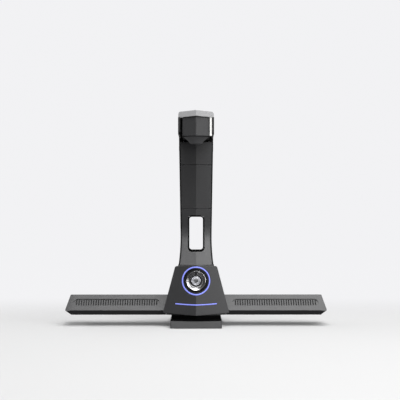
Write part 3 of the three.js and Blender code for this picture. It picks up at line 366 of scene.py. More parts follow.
def lightFinish(name, look):
    material, tree, shader = newMaterial(name, {
        "Base Color": look["colour"] + (1.0,), "Roughness": 0.35, "Emission Strength": look["strength"],
    })
    place = addNode(tree, "ShaderNodeTexCoord")
    patches = addNode(tree, "ShaderNodeTexNoise", {"Scale": look["patches"], "Detail": 2.0})
    tree.links.new(place.outputs["Object"], patches.inputs["Vector"])
    glow = mixColour(tree, patches.outputs["Fac"], look["glowLow"] + (1.0,), look["glowHigh"] + (1.0,))
    tree.links.new(glow, shader.inputs["Emission Color"])
    return material


def glassFinish(name, look):
    material, tree, shader = newMaterial(name, {
        "Base Color": look["colour"] + (1.0,), "Roughness": look["rough"], "IOR": 1.52,
        "Transmission Weight": look["clear"], "Coat Weight": 1.0, "Coat Roughness": 0.02,
    })
    tint = addNode(tree, "ShaderNodeLayerWeight", {"Blend": 0.35})
    coating = mixColour(tree, tint.outputs["Facing"], look["colour"] + (1.0,), look["edge"] + (1.0,))
    tree.links.new(coating, shader.inputs["Base Color"])
    return material


def clothFinish(name, look):
    material, tree, shader = newMaterial(name, {"Roughness": 0.95, "Sheen Weight": 0.3})
    weave = useGroup(tree, "weave", {"Pitch": look["pitch"]})
    tree.links.new(
        mixColour(tree, weave.outputs["Height"], shadeOf(look["colour"], 0.5), look["colour"] + (1.0,)),
        shader.inputs["Base Color"],
    )
    bump = addNode(tree, "ShaderNodeBump", {"Strength": 0.6, "Distance": 0.0002})
    tree.links.new(weave.outputs["Height"], bump.inputs["Height"])
    tree.links.new(bump.outputs["Normal"], shader.inputs["Normal"])
    return material


def boardFinish(name, look):
    material, tree, shader = newMaterial(name, {"Roughness": 0.4})
    place = addNode(tree, "ShaderNodeTexCoord")
    traces = addNode(tree, "ShaderNodeTexBrick", {
        "Scale": 260.0, "Mortar Size": 0.035, "Mortar": look["trace"] + (1.0,),
        "Color1": look["mask"] + (1.0,), "Color2": shadeOf(look["mask"], 0.8),
    })
    tree.links.new(place.outputs["Object"], traces.inputs["Vector"])
    tree.links.new(traces.outputs["Color"], shader.inputs["Base Color"])
    return material


plastics = {
    "graphite": {"colour": (0.046, 0.046, 0.048), "rough": 0.42, "grainScale": 1.0, "grainDepth": 0.25,
                 "mottle": 0.5, "wear": 0.25, "dust": 0.04},
    "charcoal": {"colour": (0.03, 0.03, 0.0315), "rough": 0.48, "grainScale": 0.9, "grainDepth": 0.3,
                 "mottle": 0.5, "wear": 0.25, "dust": 0.05},
    "jetBlack": {"colour": (0.009, 0.009, 0.0098), "rough": 0.42, "grainScale": 0.9, "grainDepth": 0.3,
                 "mottle": 0.5, "wear": 0.3, "dust": 0.03},
    "matRubber": {"colour": (0.012, 0.012, 0.012), "rough": 0.85, "grainScale": 0.5, "grainDepth": 0.8,
                  "mottle": 0.8, "wear": 0.2, "dust": 0.1, "specular": 0.3},
    # Silver lid: its own silver colour plus a painted glow that lifts both front facets to the same
    # brightness
    "satinSilverPaintedGlow": {"colour": (0.24, 0.24, 0.244), "rough": 0.42, "grainScale": 1.2, "grainDepth": 0.12,
                    "mottle": 0.2, "wear": 0.15, "dust": 0.02, "metallic": 0.2, "glow": 0.19},
    "shellBlack": {"colour": (0.01, 0.01, 0.0105), "rough": 0.66, "grainScale": 0.9, "grainDepth": 0.3,
                   "mottle": 0.5, "wear": 0.1, "dust": 0.03, "specular": 0.2},
    "cheekBlack": {"colour": (0.014, 0.014, 0.0148), "rough": 0.5, "grainScale": 0.9, "grainDepth": 0.3,
                   "mottle": 0.5, "wear": 0.15, "dust": 0.03, "specular": 0.4},
    # Lens shroud: graphite painted lighter than the rest, plus a faint glow, so the downward-facing chin
    # reads lit
    "chinGraphitePaintedLight": {"colour": (0.085, 0.085, 0.088), "rough": 0.45, "grainScale": 1.0, "grainDepth": 0.25,
                     "mottle": 0.5, "wear": 0.2, "dust": 0.03, "glow": 0.022},
    # Painted shade: near-zero black with almost no reflection, put where parts sit in deep shadow
    "paintedShadeBlack": {"colour": (0.0015, 0.0015, 0.0016), "rough": 0.7, "grainScale": 0.9, "grainDepth": 0.2,
                  "mottle": 0.3, "wear": 0.0, "dust": 0.0, "specular": 0.03},
    "pressedPaper": {"colour": (0.02, 0.02, 0.02), "rough": 0.8, "grainScale": 0.4, "grainDepth": 0.9,
                     "mottle": 1.0, "wear": 0.1, "dust": 0.1, "specular": 0.3},
}
steels = {
    "plainSteel": {"colour": (0.42, 0.43, 0.44), "rough": 0.32, "depth": 0.3, "wear": 0.2,
                   "stretch": (60.0, 2600.0, 2600.0)},
    "blackedSteel": {"colour": (0.02, 0.02, 0.021), "rough": 0.45, "depth": 0.3, "wear": 0.1,
                     "stretch": (60.0, 2600.0, 2600.0)},
    "mirrorChrome": {"colour": (0.86, 0.87, 0.88), "rough": 0.07, "depth": 0.02, "wear": 0.0,
                     "stretch": (500.0, 500.0, 500.0)},
    "satinChrome": {"colour": (0.85, 0.85, 0.86), "rough": 0.26, "depth": 0.05, "wear": 0.0,
                    "stretch": (500.0, 500.0, 500.0)},
    "flexCopper": {"colour": (0.55, 0.28, 0.1), "rough": 0.35, "depth": 0.4, "wear": 0.1,
                   "stretch": (2600.0, 60.0, 60.0)},
}
finishes = {name: plasticFinish(name, look) for name, look in plastics.items()}
finishes.update({name: steelFinish(name, look) for name, look in steels.items()})
finishes["blueGlow"] = lightFinish("blueGlow", {
    "colour": (0.16, 0.19, 0.6), "strength": 0.8, "patches": 25.0,
    "glowLow": (0.17, 0.2, 0.64), "glowHigh": (0.28, 0.31, 0.86),
})
finishes["pageLight"] = lightFinish("pageLight", {
    "colour": (0.3, 0.3, 0.29), "strength": 0.03, "patches": 60.0,
    "glowLow": (0.8, 0.8, 0.75), "glowHigh": (0.9, 0.9, 0.86),
})
# Painted light: a white glow for the right head gap, standing in for the bright slit there; it is not a lamp
finishes["gapLight"] = lightFinish("gapLight", {
    "colour": (0.8, 0.8, 0.79), "strength": 0.8, "patches": 60.0,
    "glowLow": (0.85, 0.85, 0.83), "glowHigh": (0.95, 0.95, 0.93),
})
finishes["lensGlass"] = glassFinish("lensGlass", {
    "colour": (0.9, 0.91, 0.93), "edge": (0.5, 0.42, 0.6), "rough": 0.02, "clear": 0.94,
})
finishes["acousticCloth"] = clothFinish("acousticCloth", {"colour": (0.018, 0.018, 0.019), "pitch": 1300.0})
finishes["greenBoard"] = boardFinish("greenBoard", {"mask": (0.012, 0.09, 0.04), "trace": (0.05, 0.2, 0.09)})
print("finishes mixed:", len(finishes))

slotFinish = {
    "graphite_plastic": "graphite", "charcoal_plastic": "charcoal", "black_plastic": "jetBlack",
    "rubber": "matRubber", "silver": "satinSilverPaintedGlow", "chrome": "mirrorChrome", "steel": "plainSteel",
    "lens_glass": "lensGlass", "blue_light": "blueGlow", "white_light": "pageLight",
    "speaker_cloth": "acousticCloth", "speaker_paper": "pressedPaper", "circuit": "greenBoard",
    "copper": "flexCopper",
}

# CAD nodes that stay visible get small rounded edges, in mm by material slot
edgeRounding = {
    "steel": 0.25, "circuit": 0.1, "copper": 0.05, "lens_glass": 0.0, "chrome": 0.0, "default": 0.35,
}


def dressNode(name, slot):
    thing = nodes[name]
    finish = finishes[slotFinish[slot]]
    if thing.material_slots:
        for place in thing.material_slots:
            place.material = finish
    else:
        thing.data.materials.append(finish)
    weld = thing.modifiers.new("weld", "WELD")
    weld.merge_threshold = 0.000005
    flat = thing.modifiers.new("flat", "DECIMATE")
    flat.decimate_type = "DISSOLVE"
    flat.angle_limit = math.radians(0.6)
    width = edgeRounding.get(slot, edgeRounding["default"]) * mm
    if width > 0:
        bevel = thing.modifiers.new("edge", "BEVEL")
        bevel.width = width
        bevel.segments = 2
        bevel.limit_method = "ANGLE"
        bevel.angle_limit = math.radians(28)
        bevel.harden_normals = False
    thing.modifiers.new("normals", "WEIGHTED_NORMAL")
    for face in thing.data.polygons:
        face.use_smooth = True
    thing.data.set_sharp_from_angle(angle=math.radians(40))


for part in frame["record"]["subparts"]:
    dressNode(part["node"], part["material_slot"])
shadedNodes = {
    # neck_collar takes the painted-shade black, so the gap under the pod reads as deep shadow
    "neck_collar": "paintedShadeBlack", "arm_rear_shell": "shellBlack",
    "hinge_washer_left": "blackedSteel", "hinge_washer_right": "blackedSteel",
    "hinge_knuckle": "blackedSteel", "hinge_pin": "blackedSteel",
}
for name, finish in shadedNodes.items():
    for place in nodes[name].material_slots:
        place.material = finishes[finish]
print("CAD nodes dressed")


# Helpers for making meshes, all in mm
def linkMesh(name, mesh):
    thing = bpy.data.objects.new(name, mesh)
    bpy.context.scene.collection.objects.link(thing)
    return thing


def fromBmesh(name, bm):
    mesh = bpy.data.meshes.new(name)
    bmesh.ops.recalc_face_normals(bm, faces=bm.faces)
    bm.to_mesh(mesh)
    bm.free()
    return linkMesh(name, mesh)


def settle(thing):
    graph = bpy.context.evaluated_depsgraph_get()
    mesh = bpy.data.meshes.new_from_object(thing.evaluated_get(graph))
    thing.modifiers.clear()
    thing.data = mesh


def roundEdges(thing, width, segments=3, angle=25):
    bevel = thing.modifiers.new("edge", "BEVEL")
    bevel.width = width * mm
    bevel.segments = segments
    bevel.limit_method = "ANGLE"
    bevel.angle_limit = math.radians(angle)
    settle(thing)


def carve(thing, cutters):
    for cutter in cutters:
        tool = thing.modifiers.new("cut", "BOOLEAN")
        tool.operation = "DIFFERENCE"
        tool.solver = "EXACT"
        tool.object = cutter
    settle(thing)
    for cutter in cutters:
        bpy.data.objects.remove(cutter)


def smoothFaces(thing, angle=30):
    for face in thing.data.polygons:
        face.use_smooth = True
    thing.data.set_sharp_from_angle(angle=math.radians(angle))
    thing.modifiers.new("normals", "WEIGHTED_NORMAL").keep_sharp = True


def dress(thing, finish, body, stands=(), angle=30):
    smoothFaces(thing, angle)
    thing.data.materials.clear()
    thing.data.materials.append(finishes[finish])
    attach(thing, body)
    if stands:
        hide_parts(*stands)
    return thing


def turnedBody(name, profile, centre, axis="y", segments=96):
    bm = bmesh.new()
    rings = []
    for radius, height in profile:
        ring = []
        count = 1 if radius < 1e-6 else segments
        for i in range(count):
            angle = 2 * math.pi * i / segments
            across = (math.cos(angle) * radius, math.sin(angle) * radius)
            spot = {"y": (across[0], height, across[1]), "z": (across[0], across[1], height),
                    "x": (height, across[0], across[1])}[axis]
            ring.append(bm.verts.new((Vector(spot) + Vector(centre)) * mm))
        rings.append(ring)
    for first, second in zip(rings, rings[1:]):
        for i in range(segments):
            j = (i + 1) % segments
            corners = [first[k % len(first)] for k in (i, j)] + [second[k % len(second)] for k in (j, i)]
            kept = []
            for corner in corners:
                if corner not in kept:
                    kept.append(corner)
            if len(kept) > 2:
                bm.faces.new(kept)
    return fromBmesh(name, bm)


def roundedLoop(corners, radii, steps=8):
    loop = []
    count = len(corners)
    for i, corner in enumerate(corners):
        here = Vector(corner)
        before = (Vector(corners[i - 1]) - here).normalized()
        after = (Vector(corners[(i + 1) % count]) - here).normalized()
        radius = radii[i] if isinstance(radii, (list, tuple)) else radii
        if radius <= 0:
            loop.append(tuple(here))
            continue
        half = before.angle(after) / 2
        reach = radius / math.tan(half)
        middle = here + (before + after).normalized() * (radius / math.sin(half))
        start, end = here + before * reach - middle, here + after * reach - middle
        sweep = start.angle_signed(end)
        for k in range(steps + 1):
            turn = -sweep * k / steps
            loop.append((middle.x + start.x * math.cos(turn) - start.y * math.sin(turn),
                         middle.y + start.x * math.sin(turn) + start.y * math.cos(turn)))
    return loop


def circleLoop(centre, radius, steps=96):
    return [(centre[0] + math.cos(2 * math.pi * i / steps) * radius,
             centre[1] + math.sin(2 * math.pi * i / steps) * radius) for i in range(steps)]


def stadiumLoop(centre, halfLength, halfHeight, steps=12):
    loop = []
    for side, start in ((1, -90), (-1, 90)):
        for k in range(steps + 1):
            angle = math.radians(start + 180 * k / steps)
            loop.append((centre[0] + side * (halfLength - halfHeight) + math.cos(angle) * halfHeight,
                         centre[1] + math.sin(angle) * halfHeight))
    return loop


# A flat plate with holes and rounded edges, creased along its bend lines and carried onto a shape
def plate(name, loops, thick, bevel, bends, place):
    curve = bpy.data.curves.new(name, "CURVE")
    curve.dimensions = "2D"
    curve.fill_mode = "BOTH"
    curve.extrude = thick / 2 - bevel
    curve.bevel_depth = bevel
    curve.bevel_resolution = 2
    curve.offset = -bevel
    for loop in loops:
        spline = curve.splines.new("POLY")
        spline.points.add(len(loop) - 1)
        for point, (u, v) in zip(spline.points, loop):
            point.co = (u, v, 0, 1)
        spline.use_cyclic_u = True
    flat = bpy.data.objects.new(name + "Flat", curve)
    bpy.context.scene.collection.objects.link(flat)
    graph = bpy.context.evaluated_depsgraph_get()
    mesh = bpy.data.meshes.new_from_object(flat.evaluated_get(graph))
    bpy.data.objects.remove(flat)
    bm = bmesh.new()
    bm.from_mesh(mesh)
    bmesh.ops.remove_doubles(bm, verts=bm.verts, dist=0.0005)
    for spot, normal in bends:
        everything = bm.verts[:] + bm.edges[:] + bm.faces[:]
        bmesh.ops.bisect_plane(bm, geom=everything, dist=0.0005, plane_co=spot, plane_no=normal)
    for vert in bm.verts:
        vert.co = Vector(place(vert.co.x, vert.co.y, vert.co.z)) * mm
    return fromBmesh(name, bm)


def slicedBody(name, low, high, planes):
    bm = bmesh.new()
    bmesh.ops.create_cube(bm, size=1)
    for vert in bm.verts:
        vert.co = Vector([a if side < 0 else b for side, a, b in zip(vert.co, low, high)])
    for spot, normal in planes:
        everything = bm.verts[:] + bm.edges[:] + bm.faces[:]
        away = Vector(normal).normalized()
        made = bmesh.ops.bisect_plane(
            bm, geom=everything, dist=0.0001, plane_co=spot, plane_no=away, clear_outer=True)
        cutEdges = [item for item in made["geom_cut"] if isinstance(item, bmesh.types.BMEdge)]
        if cutEdges:
            bmesh.ops.edgenet_fill(bm, edges=cutEdges)
    bmesh.ops.scale(bm, vec=(mm, mm, mm), verts=bm.verts)
    return fromBmesh(name, bm)


def creaseAlong(thing, centre=0.0):
    for edge in thing.data.edges:
        ends = [thing.data.vertices[i].co.x for i in edge.vertices]
        if all(abs(x - centre) < 0.00002 for x in ends):
            edge.use_edge_sharp = True


def tan(degrees):
    return math.tan(math.radians(degrees))


# The pod is a leaning cover of two facets that meet at a middle ridge
ridgeLine = (Vector((0, 0, 0)), Vector((1, 0, 0)))
pod = {
    "ridgeY": -49.558, "floor": 18.0, "lean": 7.4, "facet": 15.5, "wall": 3.0, "edge": 0.55,
    "corners": [(0, 18), (50.9, 21), (32.1, 92), (0, 94.6), (-32.1, 92), (-50.9, 21)],
    "radii": [0, 1.4, 3.4, 0, 3.4, 1.4],
}
ring = {
    "centre": (0, 70.3), "inner": 19.8, "outer": 21.72, "proud": 0.35, "deep": 2.4, "edge": 0.5, "gap": 0.12,
}
smile = {"half": 31.8, "middle": 35.4, "height": 1.5, "sag": 1.15, "proud": 0.35, "deep": 2.2, "edge": 0.4}


def podFront(x, z):
    return pod["ridgeY"] + (z - pod["floor"]) * tan(pod["lean"]) + abs(x) * tan(pod["facet"])


def onPod(thick, proud):
    return lambda u, v, w: (u, podFront(u, v) - proud + thick / 2 + w, v)


def smileLoop(look, grow):
    half, radius = look["half"] + grow, look["height"] / 2 + grow
    line = []
    for i in range(33):
        u = -half + radius + 2 * (half - radius) * i / 32
        line.append((u, look["middle"] - look["sag"] * (1 - (u / half) ** 2)))
    below = [(u, v - radius) for u, v in line]
    above = [(u, v + radius) for u, v in reversed(line)]
    ends = []
    for (u, v), start in ((line[-1], -90), (line[0], 90)):
        ends.append([(u + math.cos(math.radians(start + 180 * k / 8)) * radius,
                      v + math.sin(math.radians(start + 180 * k / 8)) * radius) for k in range(1, 8)])
    return below + ends[0] + above + ends[1]


def makePod():
    loops = [
        roundedLoop(pod["corners"], pod["radii"]), circleLoop(ring["centre"], ring["outer"] + ring["gap"]),
        smileLoop(smile, ring["gap"]),
    ]
    cover = plate("podCover", loops, pod["wall"], pod["edge"], [ridgeLine], onPod(pod["wall"], 0))
    dress(cover, "graphite", "stand", ["pod_cover"])
    creaseAlong(cover)
    loops = [circleLoop(ring["centre"], ring["outer"]), circleLoop(ring["centre"], ring["inner"])]
    thick = ring["deep"] + ring["proud"]
    glow = plate("ringGlow", loops, thick, ring["edge"], [ridgeLine], onPod(thick, ring["proud"]))
    dress(glow, "blueGlow", "stand", ["ring_light"], angle=60)
    thick = smile["deep"] + smile["proud"]
    place = onPod(thick, smile["proud"])
    strip = plate("smileGlow", [smileLoop(smile, 0)], thick, smile["edge"], [ridgeLine], place)
    dress(strip, "blueGlow", "stand", ["bar_light"], angle=60)


makePod()
print("pod built")

# The swivelling eye: dished ball, lens barrel, glass and thumb tab
eye = {
    "centre": (0, -35.365, 70.3), "radius": 15.2, "rim": 78, "dish": 2.2, "seat": 9.4, "seatFloor": 2.04,
    "barrel": 9.1, "barrelBack": 1.74, "barrelFront": -4.66, "pupil": 3.3,
    "tabHalf": 2.3, "tabLow": 9.9, "tabHigh": 14.5,
}


def makeEye():
    radius = eye["radius"]
    rim = math.radians(eye["rim"])
    rimRadius, rimY = math.sin(rim) * radius, -math.cos(rim) * radius
    seat, dishY = eye["seat"], rimY + eye["dish"]
    profile = [(0, eye["seatFloor"]), (seat, eye["seatFloor"]), (seat, dishY + 0.1), (seat + 0.15, dishY)]
    for k in range(1, 9):
        t = k / 8
        profile.append((seat + 0.15 + (rimRadius - 0.75 - seat) * t, rimY + eye["dish"] * (1 - t ** 1.7)))
    profile += [(rimRadius - 0.35, rimY - 0.12), (rimRadius - 0.1, rimY), (rimRadius, rimY + 0.25)]
    for k in range(1, 21):
        angle = rim + (math.radians(152) - rim) * k / 20
        profile.append((math.sin(angle) * radius, -math.cos(angle) * radius))
    profile.append((0, -math.cos(math.radians(152)) * radius))
    ball = turnedBody("eyeBall", profile, eye["centre"])
    x, y, z = eye["centre"]
    pocket = slicedBody("tabPocket", (-2.6, y + rimY - 2, z + 9.6), (2.6, y + 0.75, z + 16), [])
    carve(ball, [pocket])
    dress(ball, "satinChrome", "eye", ["eye_ball"], angle=24)
    tab = slicedBody("eyeTab", (-eye["tabHalf"], y + rimY - 0.8, z + eye["tabLow"]),
                     (eye["tabHalf"], y + 0.4, z + eye["tabHigh"]), [])
    roundEdges(tab, 0.6)
    dress(tab, "jetBlack", "eye", ["eye_tilt_tab"])
    front = eye["barrelFront"]
    wide, back = eye["barrel"], eye["barrelBack"]
    barrel = turnedBody("eyeBarrel", [
        (0, back), (wide - 0.2, back), (wide, back - 0.2), (wide, front + 1.6),
        (wide - 0.25, front + 1.4), (wide - 0.25, front + 1.1), (wide, front + 0.9), (wide, front + 0.5),
        (wide - 0.35, front + 0.08), (wide - 0.7, front), (wide - 1.2, front + 0.05),
        (wide - 1.5, front + 0.4), (wide - 1.6, front + 0.8), (wide - 1.9, front + 0.95),
        (wide - 1.9, front + 2.2), (0, front + 2.4),
    ], eye["centre"])
    dress(barrel, "jetBlack", "eye", ["eye_lens_barrel"], angle=35)
    funnel = turnedBody("eyeFunnel", [
        (7.15, front + 1.3), (6.2, front + 1.5), (6.1, front + 1.75), (5.0, front + 1.8),
        (4.85, front + 2.05), (3.4, front + 2.1), (3.3, front + 2.3), (7.15, front + 2.35),
        (7.15, front + 1.3),
    ], eye["centre"])
    dress(funnel, "satinChrome", "eye", angle=30)
    pupil = turnedBody("eyePupil", [
        (0, front + 1.5), (eye["pupil"] - 1.1, front + 1.55), (eye["pupil"], front + 1.9),
        (eye["pupil"], front + 2.3), (0, front + 2.3),
    ], eye["centre"])
    dress(pupil, "jetBlack", "eye", angle=30)
    glass = turnedBody("eyeGlass", [
        (0, front - 0.35), (2, front - 0.3), (4, front - 0.08), (5.6, front + 0.22), (6.8, front + 0.6),
        (7.1, front + 0.8), (7.1, front + 1.05), (4, front + 0.5), (0, front + 0.25),
    ], eye["centre"])
    dress(glass, "lensGlass", "eye", ["eye_lens_glass"], angle=50)


makeEye()
print("eye built")

# Speaker bars: sloping face, folded outer end, and a rounded well with upright slots
bar = {
    "tip": (-31.558, 24.4), "top": (-11.558, 46.8), "nose": (-25.558, 17.0), "split": -7.558,
    "back": (14.442, 40.3), "flank": (46.3, 18.0, 0.2426), "end": 200.9,
    "endHigh": (200.9, 25.6, 195.1, 46.8), "endLow": (200.9, 24.4, 192.2, 17.0),
    "foldX": 189.4, "fold": 9, "edge": 0.4,
}
well = {"middle": 122.7, "half": 66.2, "height": 6.4, "lift": 0.1, "deep": 1.1, "edge": 0.35,
        "pitch": 3.75, "slotHalf": 0.85, "slotReach": 5.3, "slotDeep": 2.6}


def faceFrame():
    (tipY, tipZ), (topY, topZ) = bar["tip"], bar["top"]
    up = Vector((0, topY - tipY, topZ - tipZ)).normalized()
    out = Vector((0, -up.z, up.y))
    middle = Vector((0, (tipY + topY) / 2, (tipZ + topZ) / 2))
    return lambda u, v, w: middle + Vector((u, 0, 0)) + up * v + out * w


def loopPrism(name, loops, low, high, place):
    bm = bmesh.new()
    for loop in loops:
        lower = [bm.verts.new(Vector(place(u, v, low)) * mm) for u, v in loop]
        upper = [bm.verts.new(Vector(place(u, v, high)) * mm) for u, v in loop]
        bm.faces.new(lower)
        bm.faces.new(upper)
        for i in range(len(loop)):
            j = (i + 1) % len(loop)
            bm.faces.new((lower[i], lower[j], upper[j], upper[i]))
    return fromBmesh(name, bm)


def uprightSlot(centre, halfWidth, halfHeight):
    return [(centre[0] - v, centre[1] + u) for u, v in stadiumLoop((0, 0), halfHeight, halfWidth, 5)]


def makeBar(side, name):
    (tipY, tipZ), (topY, topZ), (noseY, low) = bar["tip"], bar["top"], bar["nose"]
    flankX, flankZ, flankSlope = bar["flank"]
    x0, z0, x1, z1 = bar["endHigh"]
    x2, z2, x3, z3 = bar["endLow"]
    rise, run, fold = topZ - tipZ, topY - tipY, tan(bar["fold"])
    topSlope = (bar["back"][1] - topZ) / (bar["back"][0] - topY)
    planes = [
        ((0, tipY, tipZ), (0, -rise, run)), ((0, tipY, tipZ), (0, low - tipZ, tipY - noseY)),
        ((0, topY, topZ), (0, -topSlope, 1)), ((flankX, 0, flankZ), (-1, 0, -flankSlope)),
        ((x0, 0, z0), (z1 - z0, 0, x0 - x1)), ((x2, 0, z2), (z2 - z3, 0, x3 - x2)),
        ((bar["foldX"], tipY, tipZ), (rise * fold, -rise, run)),
    ]
    front = slicedBody(name + "Bar", (0, tipY - 5, low), (bar["end"], bar["split"], topZ + 5), planes)
    roundEdges(front, bar["edge"])
    place = faceFrame()
    rim = stadiumLoop((well["middle"], well["lift"]), well["half"], well["height"], 14)
    deep = loopPrism("wellCut", [rim], -well["deep"], 4, place)
    carve(front, [deep])
    straight = well["half"] - well["height"]
    count = int((2 * well["half"] - 2.4) / well["pitch"])
    slots = []
    for i in range(count):
        away = (i - (count - 1) / 2) * well["pitch"]
        over = max(0.0, abs(away) - straight + well["slotHalf"])
        reach = min(well["slotReach"], math.sqrt(max(0.0, well["height"] ** 2 - over ** 2)) - 0.9)
        if reach > well["slotHalf"] + 0.3:
            slots.append(uprightSlot((well["middle"] + away, well["lift"]), well["slotHalf"], reach))
    carve(front, [loopPrism("slotCut", slots, -well["slotDeep"], 3, place)])
    roundEdges(front, 0.16, 2, 40)
    if side < 0:
        front.data.transform(Matrix.Scale(-1, 4, (1, 0, 0)))
        front.data.flip_normals()
    dress(front, "graphite", "stand", [f"{name}_bar_front"], angle=20)


makeBar(-1, "left")
makeBar(1, "right")
print("bars built")

# Arm covers are creased plates that follow the bent arm; the window has a lining
arm = {
    "root": 92.5, "rootY": -14.558, "lean": 32, "leanRise": 38, "bendRise": 22, "upright": -2, "top": 285.0,
    "depth": 26, "ridge": 4.2, "halfRoot": 27.3, "halfWaist": 24.7, "halfTop": 27.2, "waistRise": 40.5,
    "reveal": 2.2, "wall": 2.2, "edge": 0.45,
}
seams = [92.5, 180.0, 250.0, 286.4]
window = {"half": 10.9, "low": 115.0, "high": 167.4, "radius": 4.2, "liner": 1.9, "sink": 0.2}


def armFront(z):
    first, last = tan(arm["lean"]), tan(arm["upright"])
    leanEnd = arm["root"] + arm["leanRise"]
    if z <= leanEnd:
        return arm["rootY"] + (z - arm["root"]) * first
    u = min(z - leanEnd, arm["bendRise"])
    bent = arm["rootY"] + arm["leanRise"] * first + first * u + (last - first) * u * u / (2 * arm["bendRise"])
    return bent + max(0.0, z - leanEnd - arm["bendRise"]) * last


def armStretch(z):
    t = min(1.0, max(0.0, (z - arm["root"] - arm["leanRise"]) / arm["bendRise"]))
    return math.hypot(1, tan(arm["lean"]) * (1 - t) + tan(arm["upright"]) * t)


def armHalf(z):
    waist = arm["root"] + arm["waistRise"]
    if z < waist:
        return arm["halfWaist"] + (arm["halfRoot"] - arm["halfWaist"]) * ((waist - z) / arm["waistRise"]) ** 2
    return arm["halfWaist"] + (arm["halfTop"] - arm["halfWaist"]) * (z - waist) / (arm["top"] - waist)


def armBends():
    start = arm["root"] + arm["leanRise"]
    levels = [start + arm["bendRise"] * k / 12 for k in range(13)]
    return [ridgeLine] + [(Vector((0, z, 0)), Vector((0, 1, 0))) for z in levels]


def windowLoop(grow):
    half, low, high = window["half"] + grow, window["low"] - grow, window["high"] + grow
    return roundedLoop([(-half, low), (half, low), (half, high), (-half, high)], window["radius"] + grow)


def makeArmCover(name, low, high, node, holes=()):
    levels = [low + (high - low) * k / 24 for k in range(25)]
    rightSide = [(armHalf(z) - arm["reveal"], z) for z in levels]
    loops = [rightSide + [(-x, z) for x, z in reversed(rightSide)]] + list(holes)

    def place(u, v, w):
        face = armFront(v) + arm["ridge"] * abs(u) / armHalf(v)
        return (u, face + (arm["wall"] / 2 + w) * armStretch(v), v)

    cover = plate(name, loops, arm["wall"], arm["edge"], armBends(), place)
    dress(cover, "graphite", "stand", [node])
    creaseAlong(cover)


def makeWindowLining():
    thick = 10.0

    def place(u, v, w):
        front = armFront(v) + arm["ridge"] * abs(u) / armHalf(v) + window["sink"]
        back = armFront(v) + arm["depth"] * armStretch(v) - window["sink"]
        return (u, front + (back - front) * (w / thick + 0.5), v)

    loops = [windowLoop(window["liner"]), windowLoop(0)]
    lining = plate("windowLining", loops, thick, 0.1, armBends(), place)
    # The lining takes the painted-shade black, standing in for the shadow inside the window
    dress(lining, "paintedShadeBlack", "stand", ["window_liner"])


makeArmCover("armLower", seams[0], seams[1] - 0.25, "arm_lower_cover", [windowLoop(window["liner"] + 0.3)])
makeArmCover("armMiddle", seams[1] + 0.25, seams[2] - 0.25, "arm_middle_cover")
makeArmCover("armUpper", seams[2] + 0.25, seams[3], "arm_upper_cover")
makeWindowLining()
print("arm covered")

# The tilting head: silver lid, camera housing, cheeks and lens shroud
head = {
    "front": -71.44, "facet": 16.4, "tail": 37.56, "half": 26.9, "floor": 317.2, "edgeRise": 8.6,
    "gable": 1.9, "arch": 1.9, "shimInner": 7.9, "shimOuter": 11.8, "shimFrom": 12,
    "hinge": (24.058, 285.0), "blockHalf": 20.7, "blockFloor": 289.1, "blockBack": 33.06, "cheekThick": 3.1,
    "cheekLow": 291.6, "relief": 13.8, "lensY": -41.44,
}


def frontFacets(y):
    lean = tan(head["facet"])
    return [((0, y, 0), (lean, -1, 0)), ((0, y, 0), (-lean, -1, 0))]


def makeLid():
    floor, half = head["floor"], head["half"]
    edgeZ = floor + head["edgeRise"]
    planes = frontFacets(head["front"]) + [((0, head["tail"], floor + 3), (0, 8.5, 7))]
    for side in (-1, 1):
        planes += [
            ((0, 0, edgeZ + head["gable"]), (side * head["gable"] / (half - 2.4), 0, 1)),
            ((side * (half - 2.4), 0, edgeZ), (side * 1.4, 0, 1.8)),
            ((side * half, 0, floor), (side, 0, 0.08)),
        ]
    lid = slicedBody("headLid", (-half, head["front"], floor), (half, head["tail"], floor + 20), planes)
    roundEdges(lid, 0.9, 4, 12)
    wedge = [(-half - 1, floor - 0.1), (half + 1, floor - 0.1), (0, floor + head["arch"])]
    carve(lid, [loopPrism("archCut", [wedge], -90, 60, lambda u, v, w: (u, w, v))])
    # The lid finish carries painted light: a small glow that evens out its two facets
    dress(lid, "satinSilverPaintedGlow", "head", ["head_top_cover"], angle=14)


def makeHousing():
    half = head["blockHalf"]
    front = head["front"] + 2
    top = head["floor"] - 0.3
    low, high = (-half, front, head["blockFloor"]), (half, head["blockBack"], top)
    block = slicedBody("cameraHousing", low, high, frontFacets(front))
    roundEdges(block, 0.7, 3)
    hingeY, hingeZ = head["hinge"]
    carve(block, [turnedBody("knuckleCut", [(0, -half - 2), (8.1, -half - 2), (8.1, half + 2), (0, half + 2)],
                             (0, hingeY, hingeZ), "x")])
    dress(block, "graphite", "head", ["camera_housing"])
    low, high = (-half + 1, front + 1.2, top - 1), (half - 1, head["blockBack"] - 1, top + 3)
    planes = frontFacets(front + 1.2)
    for side in (-1, 1):
        planes.append(((side * head["half"], 0, top + 0.3), (side * head["arch"] / head["half"], 0, 1)))
    filler = slicedBody("archFiller", low, high, planes)
    dress(filler, "jetBlack", "head")


def makeCheeks():
    hingeY, hingeZ = head["hinge"]
    front, low, top, tail = head["front"] + 3, head["cheekLow"], head["floor"] - 0.3, head["tail"] - 3
    start = math.asin((low - hingeZ) / head["relief"])
    loop = [(front + 3, low)]
    for k in range(17):
        angle = math.pi - start + (math.pi / 2 - math.pi + start) * k / 16
        loop.append((hingeY + math.cos(angle) * head["relief"], hingeZ + math.sin(angle) * head["relief"]))
    loop += [(tail, hingeZ + head["relief"]), (tail, top), (front, top), (front, low + 3)]
    thick = head["cheekThick"]
    for side, name in ((-1, "left"), (1, "right")):
        middle = side * (head["half"] - thick / 2)
        cheek = plate(name + "Cheek", [loop], thick, 0.5, [], lambda u, v, w: (middle + w, u, v))
        dress(cheek, "cheekBlack", "head", [f"{name}_cheek"])


